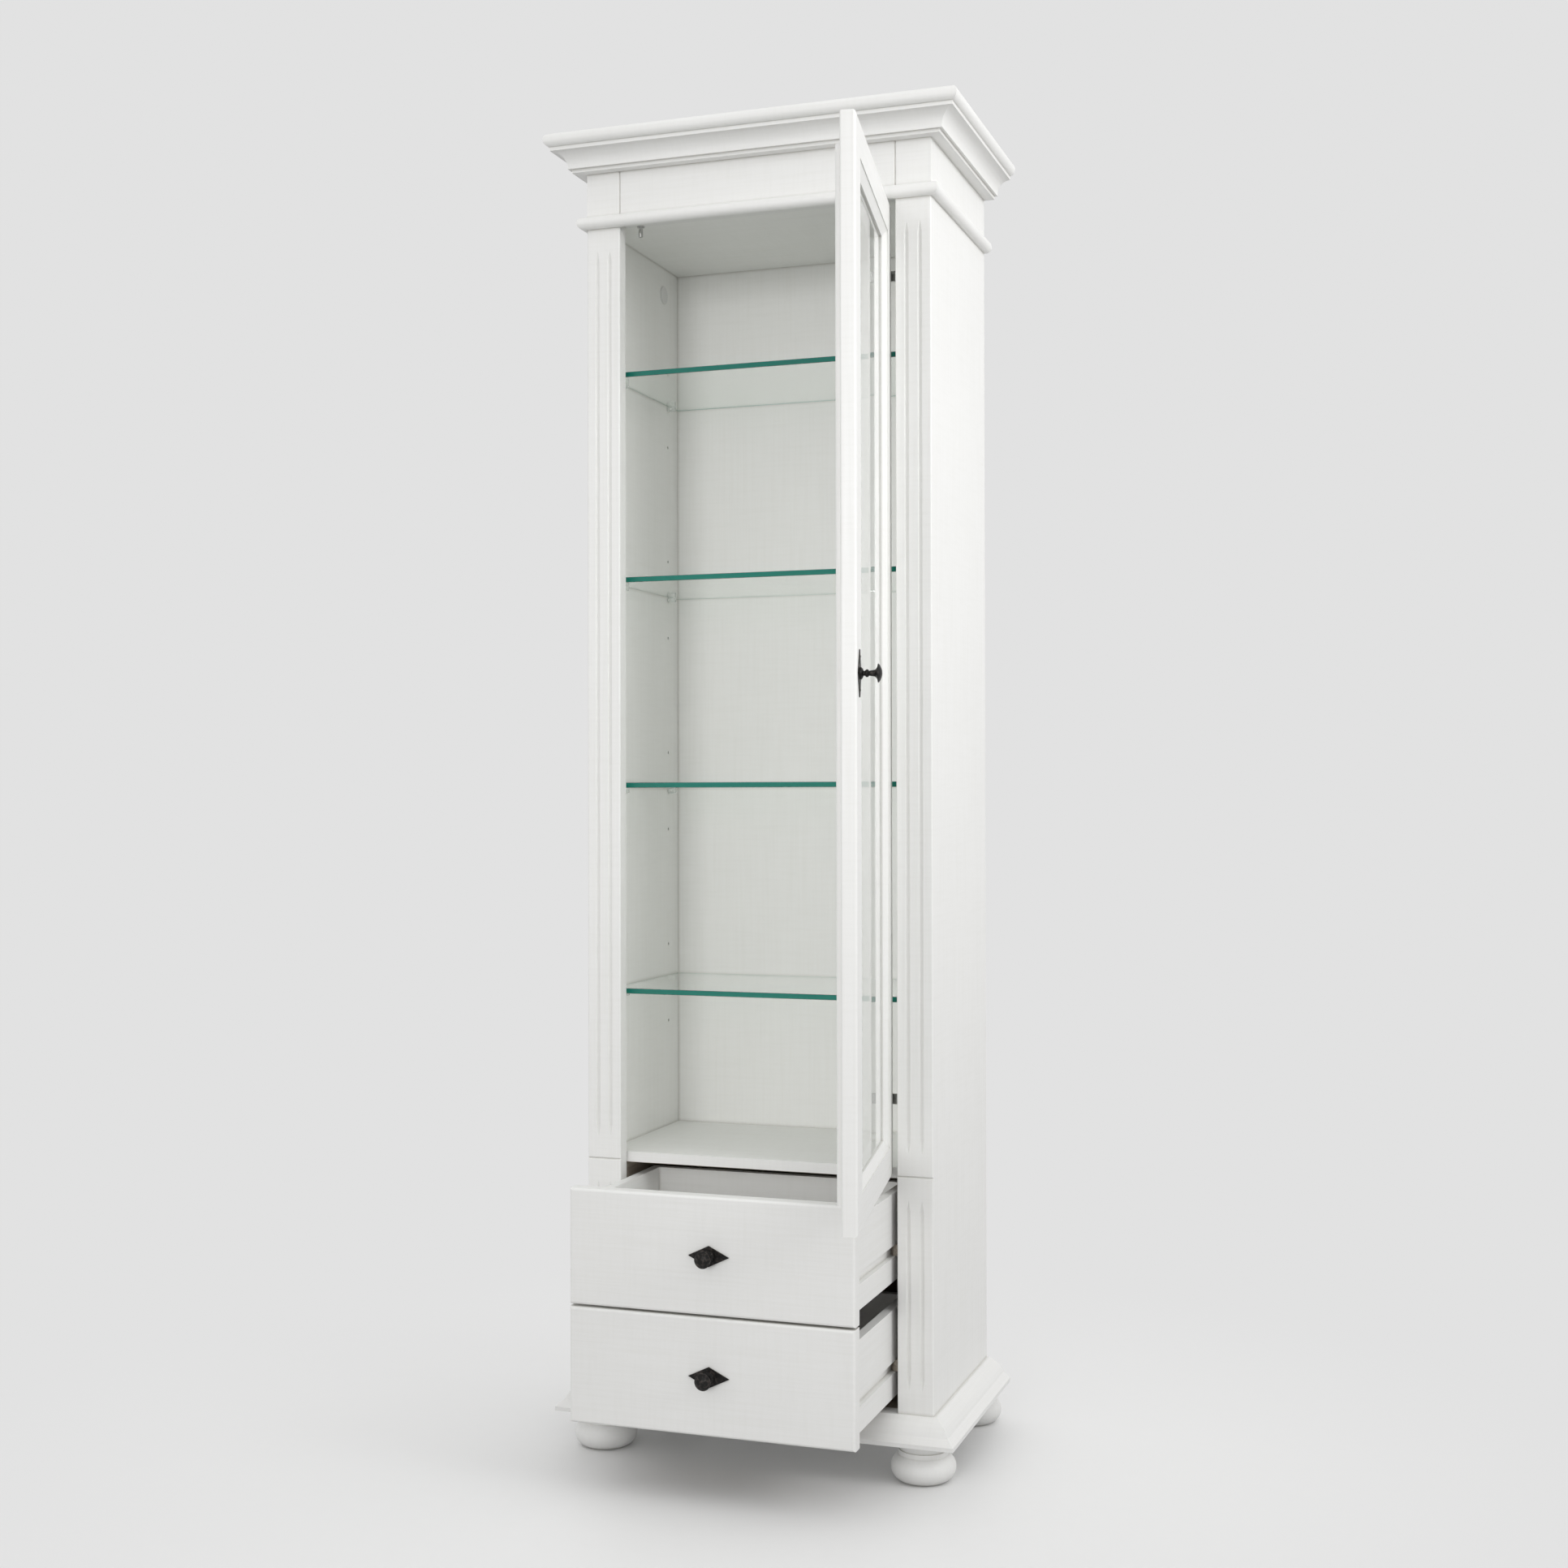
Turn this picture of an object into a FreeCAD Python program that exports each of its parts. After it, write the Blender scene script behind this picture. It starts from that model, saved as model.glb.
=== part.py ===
"""Display cabinet: glazed door above two drawers, on bun feet.

Millimetres, +Z up, front towards -Y. The origin lies on the floor, at mid-width, under the front face
of the pilasters.
"""
import FreeCAD, Part
import math
import os
from types import SimpleNamespace

import Sketcher
from FreeCAD import Placement, Rotation, Vector

SIZES = {
    # case
    "case_width": 544,
    "case_depth": 331,
    "overall_height": 2000,
    "front_layer": 22,
    "side_thickness": 18,
    "back_thickness": 8,
    "panel_thickness": 18,
    "ceiling_recess": 5.5,
    "fixed_shelf_height": 448,
    "fixed_shelf_thickness": 16,
    "fixed_shelf_setback": 5,
    # pilasters and frieze
    "pilaster_width": 54,
    "pilaster_round": 2,
    "flute_spacing": 20,
    "flute_radius": 3.6,
    "flute_depth": 2.2,
    "flute_taper": 18,
    "flute_end_gap": 33,
    "groove_depth": 2,
    "frieze_show": 66,
    # astragal under the frieze
    "astragal_height": 19,
    "astragal_projection": 13,
    # cornice
    "cornice_fillet_projection": 17.5,
    "cornice_fillet_height": 5,
    "cove_step": 5,
    "cove_start_height": 3.5,
    "cove_radius": 20.5,
    "cornice_lip_height": 5.5,
    "top_board_thickness": 20.5,
    "top_board_overhang": 8,
    # plinth
    "plinth_height": 36.5,
    "plinth_projection": 38,
    "plinth_fillet_height": 6,
    "plinth_round": 1.2,
    "plinth_break_inset": 10.5,
    "plinth_break_rise": 9.5,
    "plinth_swell_radius": 38,
    "plinth_ledge_projection": 8,
    "plinth_ledge_drop": 2,
    "plinth_top_projection": 4.5,
    # bun feet
    "foot_height": 61,
    "foot_inset": 20.7,
    "foot_base_radius": 31.5,
    "foot_bulge_height": 38,
    "foot_ring_radius": 36.5,
    "foot_ring_height": 7,
    "foot_neck_radius": 35,
    "foot_top_radius": 42,
    # glass shelves and their pins
    "first_shelf_rise": 248.3,
    "top_space": 218.5,
    "shelf_thickness": 8,
    "shelf_arris": 0.8,
    "shelf_front_gap": 16,
    "shelf_back_gap": 3,
    "shelf_side_gap": 1,
    "pin_front_inset": 63,
    "pin_back_inset": 43,
    "pin_radius": 2.5,
    "pin_hole_clearance": 0.1,
    "pin_depth": 10,
    "pin_head_radius": 4,
    "pin_reach": 13,
    # cover caps and door stop
    "cap_radius": 14,
    "cap_thickness": 1.6,
    "cap_inset": 61,
    "cap_drop": 44.5,
    "stop_offset": 19.5,
    "stop_radius": 3.3,
    "stop_length": 16.5,
    "stop_flange_width": 2.3,
    "stop_flange_thickness": 2,
    "stop_gap": 0.4,
    # door and drawer fronts
    "front_side_gap": 5,
    "front_thickness": 21,
    "front_round": 4,
    "back_edge_round": 2.5,
    # door frame
    "door_overlap": 10,
    "door_top_gap": 4,
    "door_open_angle": 100,
    "member_width": 59,
    "quirk_inset": 47,
    "quirk_depth": 1.2,
    "rebate_width": 10,
    "rebate_lip": 2.5,
    "glass_depth": 10,
    "glass_thickness": 4,
    "glass_edge_gap": 1,
    "bead_inset": 32,
    "bead_thickness": 10,
    "bead_round": 3,
    "bead_tongue_gap": 0.5,
    # hinges
    "pivot_from_edge": 13.5,
    "pivot_from_face": 8.5,
    "upper_hinge_drop": 99,
    "lower_hinge_rise": 109,
    "cup_reach": 9.5,
    "cup_floor_depth": 3,
    "cup_floor_thickness": 1,
    "cheek_thickness": 2,
    "cheek_gap": 0.5,
    "wing_thickness": 1.2,
    "wing_length": 16,
    "wing_end_gap": 5,
    "hinge_pin_radius": 2,
    "hinge_pin_clearance": 0.05,
    "arm_height": 15,
    "arm_eye_wall": 1.95,
    "arm_thickness": 6,
    "arm_lean": 18,
    "arm_back_gap": 17,
    "arm_foot_length": 45,
    "arm_foot_thickness": 3,
    "hinge_plate_thickness": 3,
    "hinge_plate_height": 44,
    "hinge_plate_length": 36,
    # drawers
    "drawer_plinth_gap": 1.5,
    "drawer_front_gap": 3,
    "drawer_door_gap": 5,
    "drawer_pulled_out": 193,
    "box_inset": 4,
    "box_side_thickness": 13.5,
    "box_rise": 17,
    "box_top_drop": 20.5,
    "box_back_gap": 19,
    "box_back_thickness": 13,
    "box_bottom_rise": 9,
    "box_bottom_thickness": 5,
    "box_bottom_lodge": 5,
    "slide_groove_rise": 43.5,
    "slide_groove_depth": 8.5,
    "runner_height": 16,
    "runner_clearance": 0.3,
    "runner_side_gap": 0.8,
    "runner_end_gap": 8,
    "runner_nose": 5,
    "liner_setback": 3,
    # knobs
    "knob_base_radius": 8,
    "knob_base_edge": 1.2,
    "knob_base_height": 4.2,
    "knob_neck_radius": 3.2,
    "knob_neck_length": 2,
    "knob_ring_length": 5,
    "knob_stem_length": 7.3,
    "knob_stem_flare": 1.2,
    "knob_flare_height": 4.2,
    "knob_head_radius": 12,
    "knob_rim_height": 0.8,
    "knob_dome_height": 4.5,
    "plate_length": 61,
    "plate_width": 29.5,
    "plate_thickness": 1.5,
}
# shares of a length: nosing of its board, bulge of its height, ring and flare curves of their chords
NOSING_SHARE = 0.47
BULGE_SHARE = 0.535
KNOB_RING_SHARE = 0.52
KNOB_FLARE_SHARE = 2.4
HOLES_PER_PITCH = 5
SHELF_COUNT = 4
PIN_HOLE_STEPS = (-1, 0, 1)
DRAWERS = ("lower", "upper")
HINGES = ("lower", "upper")
OUTPUT = "parts"

DOC = FreeCAD.newDocument("display_cabinet")
SHEET = DOC.addObject("Spreadsheet::Sheet", "Sizes")
NODES = []


class Formula:
    """A length kept twice: as an expression on the sheet and as its present value."""

    def __init__(self, text, value):
        self.text = text
        self.value = value

    def join(self, sign, other, value):
        return Formula(f"({self.text} {sign} {formula(other).text})", value)

    def __add__(self, other):
        return self.join("+", other, self.value + formula(other).value)

    def __sub__(self, other):
        return self.join("-", other, self.value - formula(other).value)

    def __mul__(self, other):
        return self.join("*", other, self.value * formula(other).value)

    def __truediv__(self, other):
        return self.join("/", other, self.value / formula(other).value)

    def __radd__(self, other):
        return formula(other) + self

    def __rsub__(self, other):
        return formula(other) - self

    def __rmul__(self, other):
        return formula(other) * self

    def __neg__(self):
        return 0 - self


def formula(item):
    """Return the item as a Formula."""
    return item if isinstance(item, Formula) else Formula(str(item), item)


def cosine(angle):
    return Formula(f"cos({angle.text})", math.cos(math.radians(angle.value)))


def sine(angle):
    return Formula(f"sin({angle.text})", math.sin(math.radians(angle.value)))


def fill_sheet():
    """Write the sizes to the sheet and return them as formulas."""
    for row, (name, value) in enumerate(SIZES.items(), start=1):
        SHEET.set(f"A{row}", name)
        SHEET.set(f"B{row}", str(value))
        SHEET.setAlias(f"B{row}", name)
    DOC.recompute()
    return SimpleNamespace(**{name: Formula(f"Sizes.{name}", value) for name, value in SIZES.items()})


S = fill_sheet()
HALF_WIDTH = S.case_width / 2
SIDE_INNER = HALF_WIDTH - S.side_thickness
PILASTER_INNER = HALF_WIDTH - S.pilaster_width
PILASTER_MIDDLE = HALF_WIDTH - S.pilaster_width / 2
BACK_FACE = S.case_depth - S.back_thickness
TOP_BOARD_BOTTOM = S.overall_height - S.top_board_thickness
COVE_BOTTOM = S.cornice_fillet_height + S.cove_start_height
CORNICE_HEIGHT = COVE_BOTTOM + S.cove_radius + S.cornice_lip_height
SOFFIT = TOP_BOARD_BOTTOM - CORNICE_HEIGHT
ASTRAGAL_BOTTOM = SOFFIT - S.frieze_show - S.astragal_height
CEILING = ASTRAGAL_BOTTOM + S.ceiling_recess
FLOOR_PANEL_TOP = S.foot_height + S.plinth_height
SHELF_BOTTOM = S.fixed_shelf_height - S.fixed_shelf_thickness
SHELF_PITCH = (CEILING - S.top_space - S.fixed_shelf_height - S.first_shelf_rise) / (SHELF_COUNT - 1)
HALF_FRONT = PILASTER_INNER - S.front_side_gap
DOOR_BOTTOM = S.fixed_shelf_height - S.door_overlap
DOOR_TOP = ASTRAGAL_BOTTOM - S.door_top_gap
PIVOT_X = HALF_FRONT - S.pivot_from_edge
PIVOT_Y = S.pivot_from_face
GLASS_BACK = S.glass_depth + S.glass_thickness
CUP_HALF_HEIGHT = S.arm_height / 2 + S.cheek_gap + S.cheek_thickness
ARM_REAR = S.front_layer + S.arm_back_gap
DRAWER_BOTTOM = FLOOR_PANEL_TOP + S.drawer_plinth_gap
DRAWER_SPACE = DOOR_BOTTOM - S.drawer_door_gap - DRAWER_BOTTOM
DRAWER_FRONT_HEIGHT = (DRAWER_SPACE - S.drawer_front_gap * (len(DRAWERS) - 1)) / len(DRAWERS)
BOX_HALF_WIDTH = HALF_FRONT - S.box_inset
LINER_FACE = PILASTER_INNER + S.liner_setback


def bind(item, prop, value):
    item.setExpression(prop, formula(value).text)


def place(item, x=0, y=0, z=0, rotation=None):
    """Bind the position of an item; the turn is fixed."""
    if rotation is not None:
        item.Placement = Placement(Vector(), rotation)
    for axis, value in zip("xyz", (x, y, z)):
        bind(item, f"Placement.Base.{axis}", value)
    return item


def board(label, x, y, z):
    """Make a box from its low and high limits on each axis."""
    item = DOC.addObject("Part::Box", label)
    for prop, (low, high) in zip(("Length", "Width", "Height"), (x, y, z)):
        bind(item, prop, high - low)
    return place(item, x[0], y[0], z[0])


def rod(label, radius, length, x, y, z, rotation=None):
    """Make a cylinder standing at a point, along local Z."""
    item = DOC.addObject("Part::Cylinder", label)
    bind(item, "Radius", radius)
    bind(item, "Height", length)
    return place(item, x, y, z, rotation)


def cone(label, start_radius, end_radius, length, x, y, z):
    item = DOC.addObject("Part::Cone", label)
    bind(item, "Radius1", start_radius)
    bind(item, "Radius2", end_radius)
    bind(item, "Height", length)
    return place(item, x, y, z)


def fuse(label, items):
    item = DOC.addObject("Part::MultiFuse", label)
    item.Shapes = items
    return item


def cut(label, base, tools):
    """Take one or more tools away from a base."""
    item = DOC.addObject("Part::Cut", label)
    item.Base = base
    item.Tool = tools[0] if len(tools) == 1 else fuse(f"{label}_tools", tools)
    return item


def group(label, items):
    item = DOC.addObject("Part::Compound", label)
    item.Links = items
    return item


def node(item, label):
    """Enter an item in the list of finished pieces."""
    item.Label = label
    NODES.append(item)
    return item


def swing(label, items):
    """Turn closed door pieces about the hinge line to the open rest position."""
    item = node(group(f"{label}_node", items), label)
    item.Placement = Placement(Vector(), Rotation(Vector(0, 0, 1), 1))
    turn_cos = cosine(S.door_open_angle)
    turn_sin = sine(S.door_open_angle)
    bind(item, "Placement.Rotation.Angle", S.door_open_angle)
    bind(item, "Placement.Base.x", PIVOT_X - PIVOT_X * turn_cos + PIVOT_Y * turn_sin)
    bind(item, "Placement.Base.y", PIVOT_Y - PIVOT_X * turn_sin - PIVOT_Y * turn_cos)


def pull(label, items):
    """Shift closed drawer pieces to the pulled-out rest position."""
    place(node(group(f"{label}_node", items), label), y=-S.drawer_pulled_out)


def draw(body, plane, label, corners):
    """Draw a closed outline on an origin plane of a body.

    A corner is (u, v), reached by a straight edge, or (u, v, radius, side), reached by an arc whose
    centre lies to the left (+1) or to the right (-1) of the way.
    """
    support = next(item for item in body.Origin.OriginFeatures if item.Role == plane)
    sketch = body.newObject("Sketcher::SketchObject", label)
    sketch.AttachmentSupport = [(support, "")]
    sketch.MapMode = "FlatFace"
    corners = [tuple(formula(item) for item in corner) for corner in corners]
    ends = []
    for start, corner in zip([corners[-1]] + corners[:-1], corners):
        first = Vector(start[0].value, start[1].value)
        last = Vector(corner[0].value, corner[1].value)
        if len(corner) == 2:
            ends.append((sketch.addGeometry(Part.LineSegment(first, last)), 1, 2, None))
            continue
        radius, side = corner[2], corner[3].value
        chord = last - first
        rise = math.sqrt(max(radius.value ** 2 - chord.Length ** 2 / 4, 0))
        centre = (first + last) / 2 + Vector(-chord.y, chord.x) * (side * rise / chord.Length)
        begin, stop = (first, last) if side > 0 else (last, first)
        begin_angle = math.atan2(begin.y - centre.y, begin.x - centre.x)
        stop_angle = math.atan2(stop.y - centre.y, stop.x - centre.x)
        if stop_angle < begin_angle:
            stop_angle += 2 * math.pi
        circle = Part.Circle(centre, Vector(0, 0, 1), radius.value)
        arc = sketch.addGeometry(Part.ArcOfCircle(circle, begin_angle, stop_angle))
        ends.append((arc, 1, 2, radius) if side > 0 else (arc, 2, 1, radius))
    for edge, following in zip(ends, ends[1:] + ends[:1]):
        sketch.addConstraint(Sketcher.Constraint("Coincident", edge[0], edge[2], following[0], following[1]))
    for edge, corner in zip(ends, corners):
        for kind, value in zip(("DistanceX", "DistanceY"), corner):
            index = sketch.addConstraint(Sketcher.Constraint(kind, -1, 1, edge[0], edge[2], value.value))
            bind(sketch, f"Constraints[{index}]", value)
        if edge[3] is not None:
            index = sketch.addConstraint(Sketcher.Constraint("Radius", edge[0], edge[3].value))
            bind(sketch, f"Constraints[{index}]", edge[3])
    return sketch


def turned(label, corners):
    """Turn an outline of (radius, height) corners about the local Z axis."""
    body = DOC.addObject("PartDesign::Body", label)
    sketch = draw(body, "XZ_Plane", f"{label}_outline", corners)
    feature = body.newObject("PartDesign::Revolution", f"{label}_turning")
    feature.Profile = sketch
    feature.ReferenceAxis = (sketch, ["V_Axis"])
    feature.Angle = 360
    return body


def run(label, corners, length, mitres):
    """Run an outline of (width, height) corners along local Y and mitre its ends in plan."""
    body = DOC.addObject("PartDesign::Body", label)
    feature = body.newObject("PartDesign::Pad", f"{label}_run")
    feature.Profile = draw(body, "XZ_Plane", f"{label}_outline", corners)
    feature.Reversed = True
    bind(feature, "Length", length)
    for index, corner_list in enumerate(mitres):
        mitre = body.newObject("PartDesign::Pocket", f"{label}_mitre_{index}")
        mitre.Profile = draw(body, "XY_Plane", f"{label}_mitre_outline_{index}", corner_list)
        mitre.Type = "ThroughAll"
        mitre.Reversed = True
    return body


def slab(label, width, height, thickness):
    """Pad a rectangle that stands on local X and Y."""
    body = DOC.addObject("PartDesign::Body", label)
    feature = body.newObject("PartDesign::Pad", f"{label}_pad")
    feature.Profile = draw(body, "XY_Plane", f"{label}_outline", rectangle(width, height))
    bind(feature, "Length", thickness)
    return body


def rectangle(width, height):
    return [(0, 0), (width, 0), (width, height), (0, height)]


def round_edges(body, radius, chosen):
    """Round those edges of a body for which chosen(middle, direction) holds."""
    DOC.recompute()
    base = body.Tip
    names = []
    for index, edge in enumerate(base.Shape.Edges, start=1):
        ends = [vertex.Point for vertex in edge.Vertexes]
        direction = (ends[-1] - ends[0]).normalize()
        if chosen((ends[0] + ends[-1]) / 2, direction):
            names.append(f"Edge{index}")
    feature = body.newObject("PartDesign::Fillet", f"{body.Name}_rounding")
    feature.Base = (base, names)
    bind(feature, "Radius", radius)


def build_case():
    """Boards of the case: sides, panels, back, fixed shelf, frieze and plinth rail."""
    depth = (S.front_layer, S.case_depth)
    height = (S.foot_height, TOP_BOARD_BOTTOM)
    inside = (-SIDE_INNER, SIDE_INNER)
    for hand, limits in (("left", (-HALF_WIDTH, -SIDE_INNER)), ("right", (SIDE_INNER, HALF_WIDTH))):
        blank = board(f"side_{hand}_blank", limits, depth, height)
        node(cut(f"side_{hand}_drilled", blank, pin_holes(hand)), f"side_{hand}")
    floor_bottom = FLOOR_PANEL_TOP - S.panel_thickness
    board_depth = (S.front_layer, BACK_FACE)
    ceiling = (CEILING, CEILING + S.panel_thickness)
    node(board("top_panel", inside, board_depth, ceiling), "top_panel")
    node(board("bottom_panel", inside, board_depth, (floor_bottom, FLOOR_PANEL_TOP)), "bottom_panel")
    shelf_depth = (S.front_layer + S.fixed_shelf_setback, BACK_FACE)
    node(board("fixed_shelf", inside, shelf_depth, (SHELF_BOTTOM, S.fixed_shelf_height)), "fixed_shelf")
    back_height = (floor_bottom, TOP_BOARD_BOTTOM)
    node(board("back_panel", inside, (BACK_FACE, S.case_depth), back_height), "back_panel")
    rail_height = (S.foot_height, S.foot_height + S.plinth_height)
    rail_width = (-PILASTER_INNER, PILASTER_INNER)
    node(board("plinth_rail", rail_width, (formula(0), S.front_layer), rail_height), "plinth_rail")
    build_frieze()


def notch(label, length, rotation, x, y, z):
    """Make a square bar standing on edge, which cuts a V-groove."""
    item = DOC.addObject("Part::Box", label)
    bind(item, "Length", length)
    bind(item, "Width", S.groove_depth * math.sqrt(2))
    bind(item, "Height", S.groove_depth * math.sqrt(2))
    return place(item, x, y, z, rotation)


def build_frieze():
    """Frieze board with an upright V-groove above the inner edge of each pilaster."""
    limits = (-HALF_WIDTH, HALF_WIDTH), (formula(0), S.front_layer), (CEILING, TOP_BOARD_BOTTOM)
    blank = board("frieze_blank", *limits)
    upright = Rotation(Vector(0, 0, 1), Vector(1, 1, 0), Vector(-1, 1, 0), "XYZ")
    length = TOP_BOARD_BOTTOM - CEILING
    grooves = []
    for hand, x in (("left", -PILASTER_INNER), ("right", PILASTER_INNER)):
        label = f"frieze_groove_{hand}"
        grooves.append(notch(label, length, upright, x, -S.groove_depth, CEILING))
    node(cut("frieze", blank, grooves), "frieze_board")


def build_pilasters():
    """Fluted pilasters with eased front edges, at both sides of the front."""
    groove_height = SHELF_BOTTOM + S.fixed_shelf_thickness / 2
    zones = {
        "lower": (FLOOR_PANEL_TOP + S.flute_end_gap, groove_height - S.flute_end_gap),
        "upper": (groove_height + S.flute_end_gap, ASTRAGAL_BOTTOM - S.flute_end_gap),
    }
    axis_y = S.flute_depth - S.flute_radius
    tip_radius = S.flute_radius - S.flute_depth
    slope = Rotation(Vector(1, 0, 0), 45)
    for hand, side in (("left", -1), ("right", 1)):
        low = -HALF_WIDTH if side < 0 else PILASTER_INNER
        blank = slab(f"pilaster_{hand}_body", S.pilaster_width, S.front_layer, CEILING - S.foot_height)
        round_edges(blank, S.pilaster_round, lambda middle, direction: abs(direction.z) > 0.5 and middle.y < 1)
        place(blank, low, 0, S.foot_height)
        groove_z = groove_height - S.groove_depth
        tools = [notch(f"pilaster_{hand}_groove", S.pilaster_width, slope, low, 0, groove_z)]
        for zone, (start, end) in zones.items():
            for edge, offset in (("outer", side), ("inner", -side)):
                x = side * PILASTER_MIDDLE + offset * S.flute_spacing / 2
                label = f"flute_{hand}_{zone}_{edge}"
                straight_start = start + S.flute_taper
                straight_end = end - S.flute_taper
                length = straight_end - straight_start
                tools.append(rod(label, S.flute_radius, length, x, axis_y, straight_start))
                run_in = (tip_radius, S.flute_radius, S.flute_taper, x, axis_y, start)
                run_out = (S.flute_radius, tip_radius, S.flute_taper, x, axis_y, straight_end)
                tools.append(cone(f"{label}_start", *run_in))
                tools.append(cone(f"{label}_end", *run_out))
        node(cut(f"pilaster_{hand}_fluted", blank, tools), f"pilaster_{hand}")


def surround(name, corners, projection, bottom):
    """Run a moulding round the front and both sides, mitred at the front corners."""
    side_length = S.case_depth + projection
    front_length = S.case_width + 2 * projection
    turns = {"right": 0, "front": -90, "left": 180}
    for part_name, angle in turns.items():
        length = front_length if part_name == "front" else side_length
        first = [(0, 0), (projection, 0), (0, projection)]
        last = [(0, length), (0, length - projection), (projection, length)]
        mitres = {"right": [first], "front": [first, last], "left": [last]}[part_name]
        label = f"{name}_{part_name}"
        body = run(f"{label}_body", corners, length, mitres)
        start_x = {"right": HALF_WIDTH, "front": -HALF_WIDTH - projection, "left": -HALF_WIDTH}[part_name]
        start_y = {"right": -projection, "front": formula(0), "left": S.case_depth}[part_name]
        place(body, start_x, start_y, bottom, Rotation(Vector(0, 0, 1), angle))
        node(body, label)


def build_mouldings():
    """Plinth, astragal and cornice, and the board on top."""
    plinth = [
        (0, 0),
        (S.plinth_projection, 0),
        (S.plinth_projection, S.plinth_fillet_height),
        (S.plinth_projection - S.plinth_round, S.plinth_fillet_height + S.plinth_round),
        (S.plinth_projection - S.plinth_break_inset, S.plinth_fillet_height + S.plinth_break_rise),
        (S.plinth_ledge_projection, S.plinth_height - S.plinth_ledge_drop, S.plinth_swell_radius, 1),
        (S.plinth_top_projection, S.plinth_height),
        (0, S.plinth_height),
    ]
    surround("plinth", plinth, S.plinth_projection, S.foot_height)
    bead_radius = S.astragal_height / 2
    bead_start = S.astragal_projection - bead_radius
    astragal = [
        (0, 0),
        (bead_start, 0),
        (S.astragal_projection, bead_radius, bead_radius, 1),
        (bead_start, S.astragal_height, bead_radius, 1),
        (0, S.astragal_height),
    ]
    surround("astragal", astragal, S.astragal_projection, ASTRAGAL_BOTTOM)
    cove_start = S.cornice_fillet_projection + S.cove_step
    cove_end = cove_start + S.cove_radius
    cornice = [
        (0, 0),
        (S.cornice_fillet_projection, 0),
        (S.cornice_fillet_projection, S.cornice_fillet_height),
        (cove_start, S.cornice_fillet_height),
        (cove_start, COVE_BOTTOM),
        (cove_end, COVE_BOTTOM + S.cove_radius, S.cove_radius, -1),
        (cove_end, CORNICE_HEIGHT),
        (0, CORNICE_HEIGHT),
    ]
    surround("cornice", cornice, cove_end, SOFFIT)
    overhang = cove_end + S.top_board_overhang
    width = S.case_width + 2 * overhang
    depth = S.case_depth + overhang
    top_board = slab("top_board_body", width, depth, S.top_board_thickness)

    def nosing(middle, direction):
        return abs(direction.z) < 0.5 and middle.y < depth.value - 1

    round_edges(top_board, S.top_board_thickness * NOSING_SHARE, nosing)
    place(top_board, -HALF_WIDTH - overhang, -overhang, TOP_BOARD_BOTTOM)
    node(top_board, "cornice_top_board")


def build_feet():
    """Four turned bun feet."""
    ring_top = S.foot_bulge_height + S.foot_ring_height
    outline = [
        (0, 0),
        (S.foot_base_radius, 0),
        (S.foot_ring_radius, S.foot_bulge_height, S.foot_bulge_height * BULGE_SHARE, 1),
        (S.foot_ring_radius, ring_top),
        (S.foot_neck_radius, ring_top),
        (S.foot_top_radius, S.foot_height),
        (0, S.foot_height),
    ]
    x_inset = HALF_WIDTH - S.foot_inset
    for hand, x in (("left", -x_inset), ("right", x_inset)):
        for row, y in (("front", S.foot_inset), ("back", S.case_depth - S.foot_inset)):
            foot = turned(f"foot_{row}_{hand}_body", outline)
            node(place(foot, x, y), f"foot_{row}_{hand}")


def shelf_top(shelf):
    """Return the height of a glass shelf's upper face, counted from the top."""
    return CEILING - S.top_space - shelf * SHELF_PITCH


def pin_level(shelf):
    """Return the height of the pins under a shelf."""
    return shelf_top(shelf) - S.shelf_thickness - S.pin_head_radius


def pin_rows():
    """Return the names and depths of the front and the back row of pins."""
    return ("front", S.front_layer + S.pin_front_inset), ("back", BACK_FACE - S.pin_back_inset)


def pin_holes(hand):
    """Drills for the shelf pins in one side, a row of holes about each shelf."""
    along_x = Rotation(Vector(0, 1, 0), 90 if hand == "right" else -90)
    face = SIDE_INNER if hand == "right" else -SIDE_INNER
    radius = S.pin_radius + S.pin_hole_clearance
    drills = []
    for shelf in range(SHELF_COUNT):
        for step in PIN_HOLE_STEPS:
            for row, y in pin_rows():
                z = pin_level(shelf) + step * SHELF_PITCH / HOLES_PER_PITCH
                label = f"pin_hole_{hand}_{row}_{shelf}_{step + 1}"
                drills.append(rod(label, radius, S.pin_depth, face, y, z, along_x))
    return drills


def build_shelves():
    """Glass shelves with eased edges, on pins."""
    width = 2 * (SIDE_INNER - S.shelf_side_gap)
    front = S.front_layer + S.shelf_front_gap
    depth = BACK_FACE - S.shelf_back_gap - front
    pins = []
    for shelf in range(SHELF_COUNT):
        name = f"glass_shelf_{shelf + 1}"
        pane = slab(f"{name}_body", width, depth, S.shelf_thickness)
        round_edges(pane, S.shelf_arris, lambda middle, direction: abs(direction.z) < 0.5)
        node(place(pane, -width / 2, front, shelf_top(shelf) - S.shelf_thickness), name)
        for hand, side in (("left", -1), ("right", 1)):
            outward = Rotation(Vector(0, 1, 0), 90 * side)
            for row, y in pin_rows():
                z = pin_level(shelf)
                label = f"pin_{hand}_{row}_{shelf}"
                peg = rod(f"{label}_peg", S.pin_radius, S.pin_depth, side * SIDE_INNER, y, z, outward)
                head_x = side * (SIDE_INNER - S.pin_reach)
                head = rod(f"{label}_head", S.pin_head_radius, S.pin_reach, head_x, y, z, outward)
                pins.append(fuse(label, [peg, head]))
    node(group("shelf_pins_group", pins), "shelf_pins")


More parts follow.
